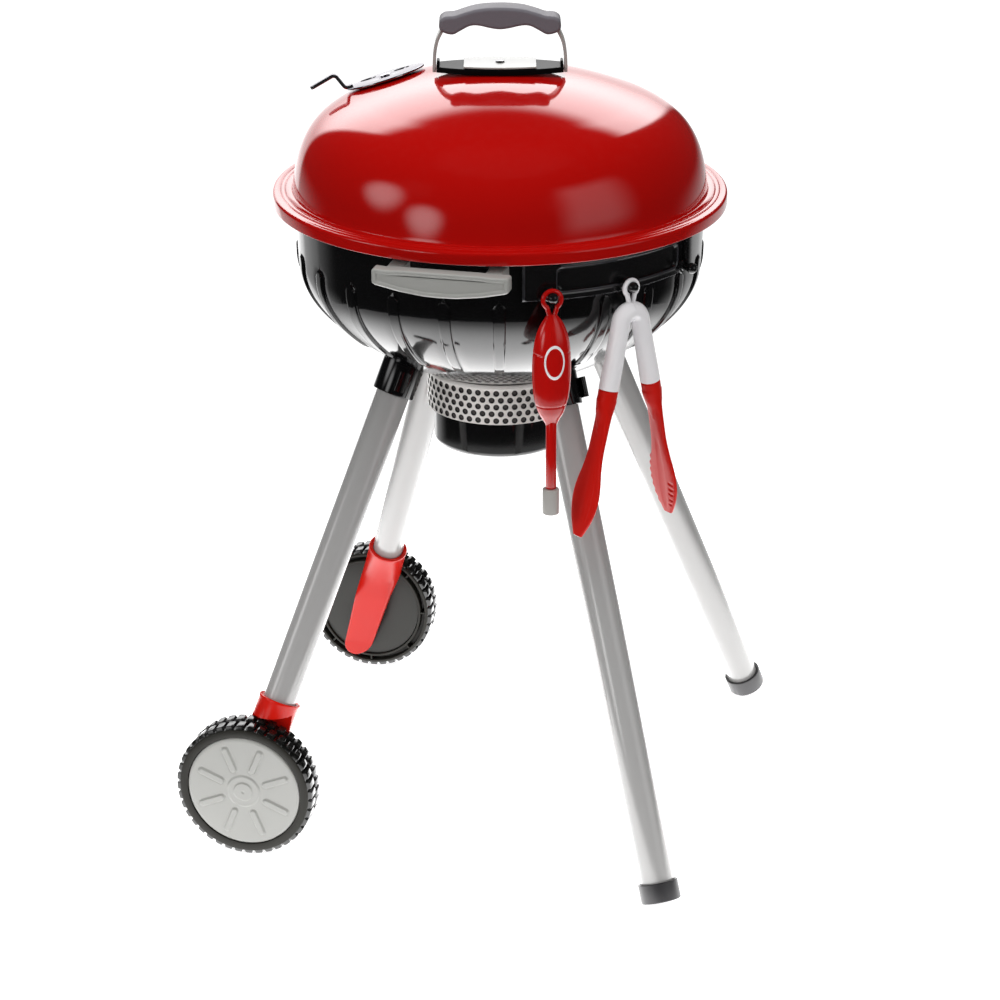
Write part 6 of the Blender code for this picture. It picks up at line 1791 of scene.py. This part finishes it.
# Angles of the room in radians; each pair is where an edge starts and ends
BACKDROP_LEFT = (-0.84, -0.76)
BACKDROP_RIGHT = (-0.02, 0.02)
BACKDROP_TOP = (0.68, 0.82)
RIGHT_EDGE_HEIGHT = 0.21
RIGHT_EDGE_SLOPE = 0.5
RIGHT_EDGE_TURN = 0.087
BACKDROP_LEVEL = 0.8
BACKDROP_RISES = ((-0.45, 0.05, 0.6), (0.05, 0.45, 3.6))
FRINGE_SIDE = (0.7, 1.3)
FRINGE_TOP = (-0.30, -0.05)
FRINGE_GLOW = 0.9
# Azimuth, height and size in degrees, and the glow
SOFT_SPOTS = ((-124.0, 17.0, 18.0, 3.2), (-152.0, 5.0, 15.0, 3.4))
PANEL_SIDES = ((1.42, 1.85), (2.1, 2.4))
PANEL_ENDS = ((-0.12, 0.04), (0.5, 0.75))
FLOOR_RADIUS = 0.62
FLOOR_PAINT = (0.9, 0.9, 0.9, 1.0)
FLOOR_TO_CAMERA = 0.80
FLOOR_GLOW = 0.55
REFLECTION_FADE = (0.20, 0.60, 3.6, -0.5)


def make_world():
    """White to the camera; in reflections a bright backdrop, a low glow under it, spots and a panel."""
    world = bpy.data.worlds.new("studio")
    world.use_nodes = True
    bpy.context.scene.world = world
    tree = world.node_tree
    view = node(tree, "ShaderNodeTexCoord").outputs["Generated"]
    x, y, z = node(tree, "ShaderNodeSeparateXYZ", {0: view}).outputs
    azimuth = maths(tree, "ARCTAN2", x, y)
    height = maths(tree, "ARCSINE", z)

    def times(a, b):
        return maths(tree, "MULTIPLY", a, b)

    def add(a, share, level):
        return maths(tree, "MULTIPLY_ADD", a, share, level)

    def up(value, limits):
        return fade(tree, value, *limits)

    def down(value, limits):
        return fade(tree, value, *limits, 1.0, 0.0)

    edge = add(maths(tree, "SUBTRACT", height, RIGHT_EDGE_HEIGHT), RIGHT_EDGE_SLOPE, RIGHT_EDGE_TURN)
    right = down(maths(tree, "SUBTRACT", azimuth, edge), BACKDROP_RIGHT)
    backdrop = times(times(up(azimuth, BACKDROP_LEFT), right), down(height, BACKDROP_TOP))
    level = BACKDROP_LEVEL
    for low, high, rise in BACKDROP_RISES:
        level = add(up(height, (low, high)), rise, level)
    glow = add(backdrop, level, ROOM_GLOW)
    off_axis = maths(tree, "ABSOLUTE", maths(tree, "ADD", azimuth, CAMERA_AZIMUTH))
    glow = add(times(down(off_axis, FRINGE_SIDE), down(height, FRINGE_TOP)), FRINGE_GLOW, glow)
    for turn, rise, size, power in SOFT_SPOTS:
        a, e = math.radians(turn), math.radians(rise)
        aim = (math.sin(a) * math.cos(e), math.cos(a) * math.cos(e), math.sin(e))
        along = node(tree, "ShaderNodeVectorMath", {0: view, 1: aim}, operation="DOT_PRODUCT")
        spot = up(along.outputs["Value"], (math.cos(math.radians(size)), 1.0))
        glow = add(times(spot, spot), power, glow)
    sides = times(up(azimuth, PANEL_SIDES[0]), down(azimuth, PANEL_SIDES[1]))
    ends = times(up(height, PANEL_ENDS[0]), down(height, PANEL_ENDS[1]))
    glow = maths(tree, "ADD", times(sides, ends), glow)
    seen = node(tree, "ShaderNodeLightPath").outputs["Is Camera Ray"]
    strength = add(seen, WHITE_TO_CAMERA, times(glow, maths(tree, "SUBTRACT", 1.0, seen)))
    background = tree.nodes["Background"]
    tree.links.new(strength, background.inputs["Strength"])
    background.inputs["Color"].default_value = WHITE


def make_floor():
    """A plain pale floor that is white in the picture and bright in reflections near the kettle."""
    material, tree, shader = new_material("floor")
    path = node(tree, "ShaderNodeLightPath").outputs
    plain = maths(tree, "MULTIPLY_ADD", path["Is Camera Ray"], FLOOR_TO_CAMERA - FLOOR_GLOW, FLOOR_GLOW)
    spot = node(tree, "ShaderNodeTexCoord").outputs["Object"]
    away = node(tree, "ShaderNodeVectorMath", {0: spot}, operation="LENGTH").outputs["Value"]
    reflected = maths(tree, "MULTIPLY", path["Is Glossy Ray"], fade(tree, away, *REFLECTION_FADE))
    fill(tree, shader, {"Base Color": FLOOR_PAINT, "Roughness": 1.0, "Specular IOR Level": 0.0,
                        "Emission Color": WHITE, "Emission Strength": maths(tree, "ADD", reflected, plain)})
    bm = bmesh.new()
    bm.faces.new([bm.verts.new((x, y, 0.0)) for x, y in circle(FLOOR_RADIUS, 96)])
    ground = mesh_object("floor", bm)
    ground.data.materials.append(material)
    ground.location.x = KETTLE_X


def make_lamp(name, place, aim, size, power):
    """A soft lamp that lights without showing in reflections."""
    data = bpy.data.lights.new(name, "AREA")
    data.shape = "DISK"
    data.size = size
    data.energy = power
    lamp = add_object(name, data)
    lamp.location = place
    lamp.rotation_euler = (Vector(aim) - Vector(place)).to_track_quat("-Z", "Y").to_euler()
    lamp.visible_glossy = False


make_world()
make_floor()
make_lamp("lamp_overhead", (0.1, -0.2, 2.2), (0.0, 0.0, 0.2), 1.6, 20.0)
make_lamp("lamp_front_left", (-1.3, -1.5, 1.5), (0.0, 0.0, 0.3), 1.0, 12.0)
make_lamp("lamp_front_right", (1.6, -1.2, 1.1), (0.0, 0.0, 0.3), 1.0, 9.0)
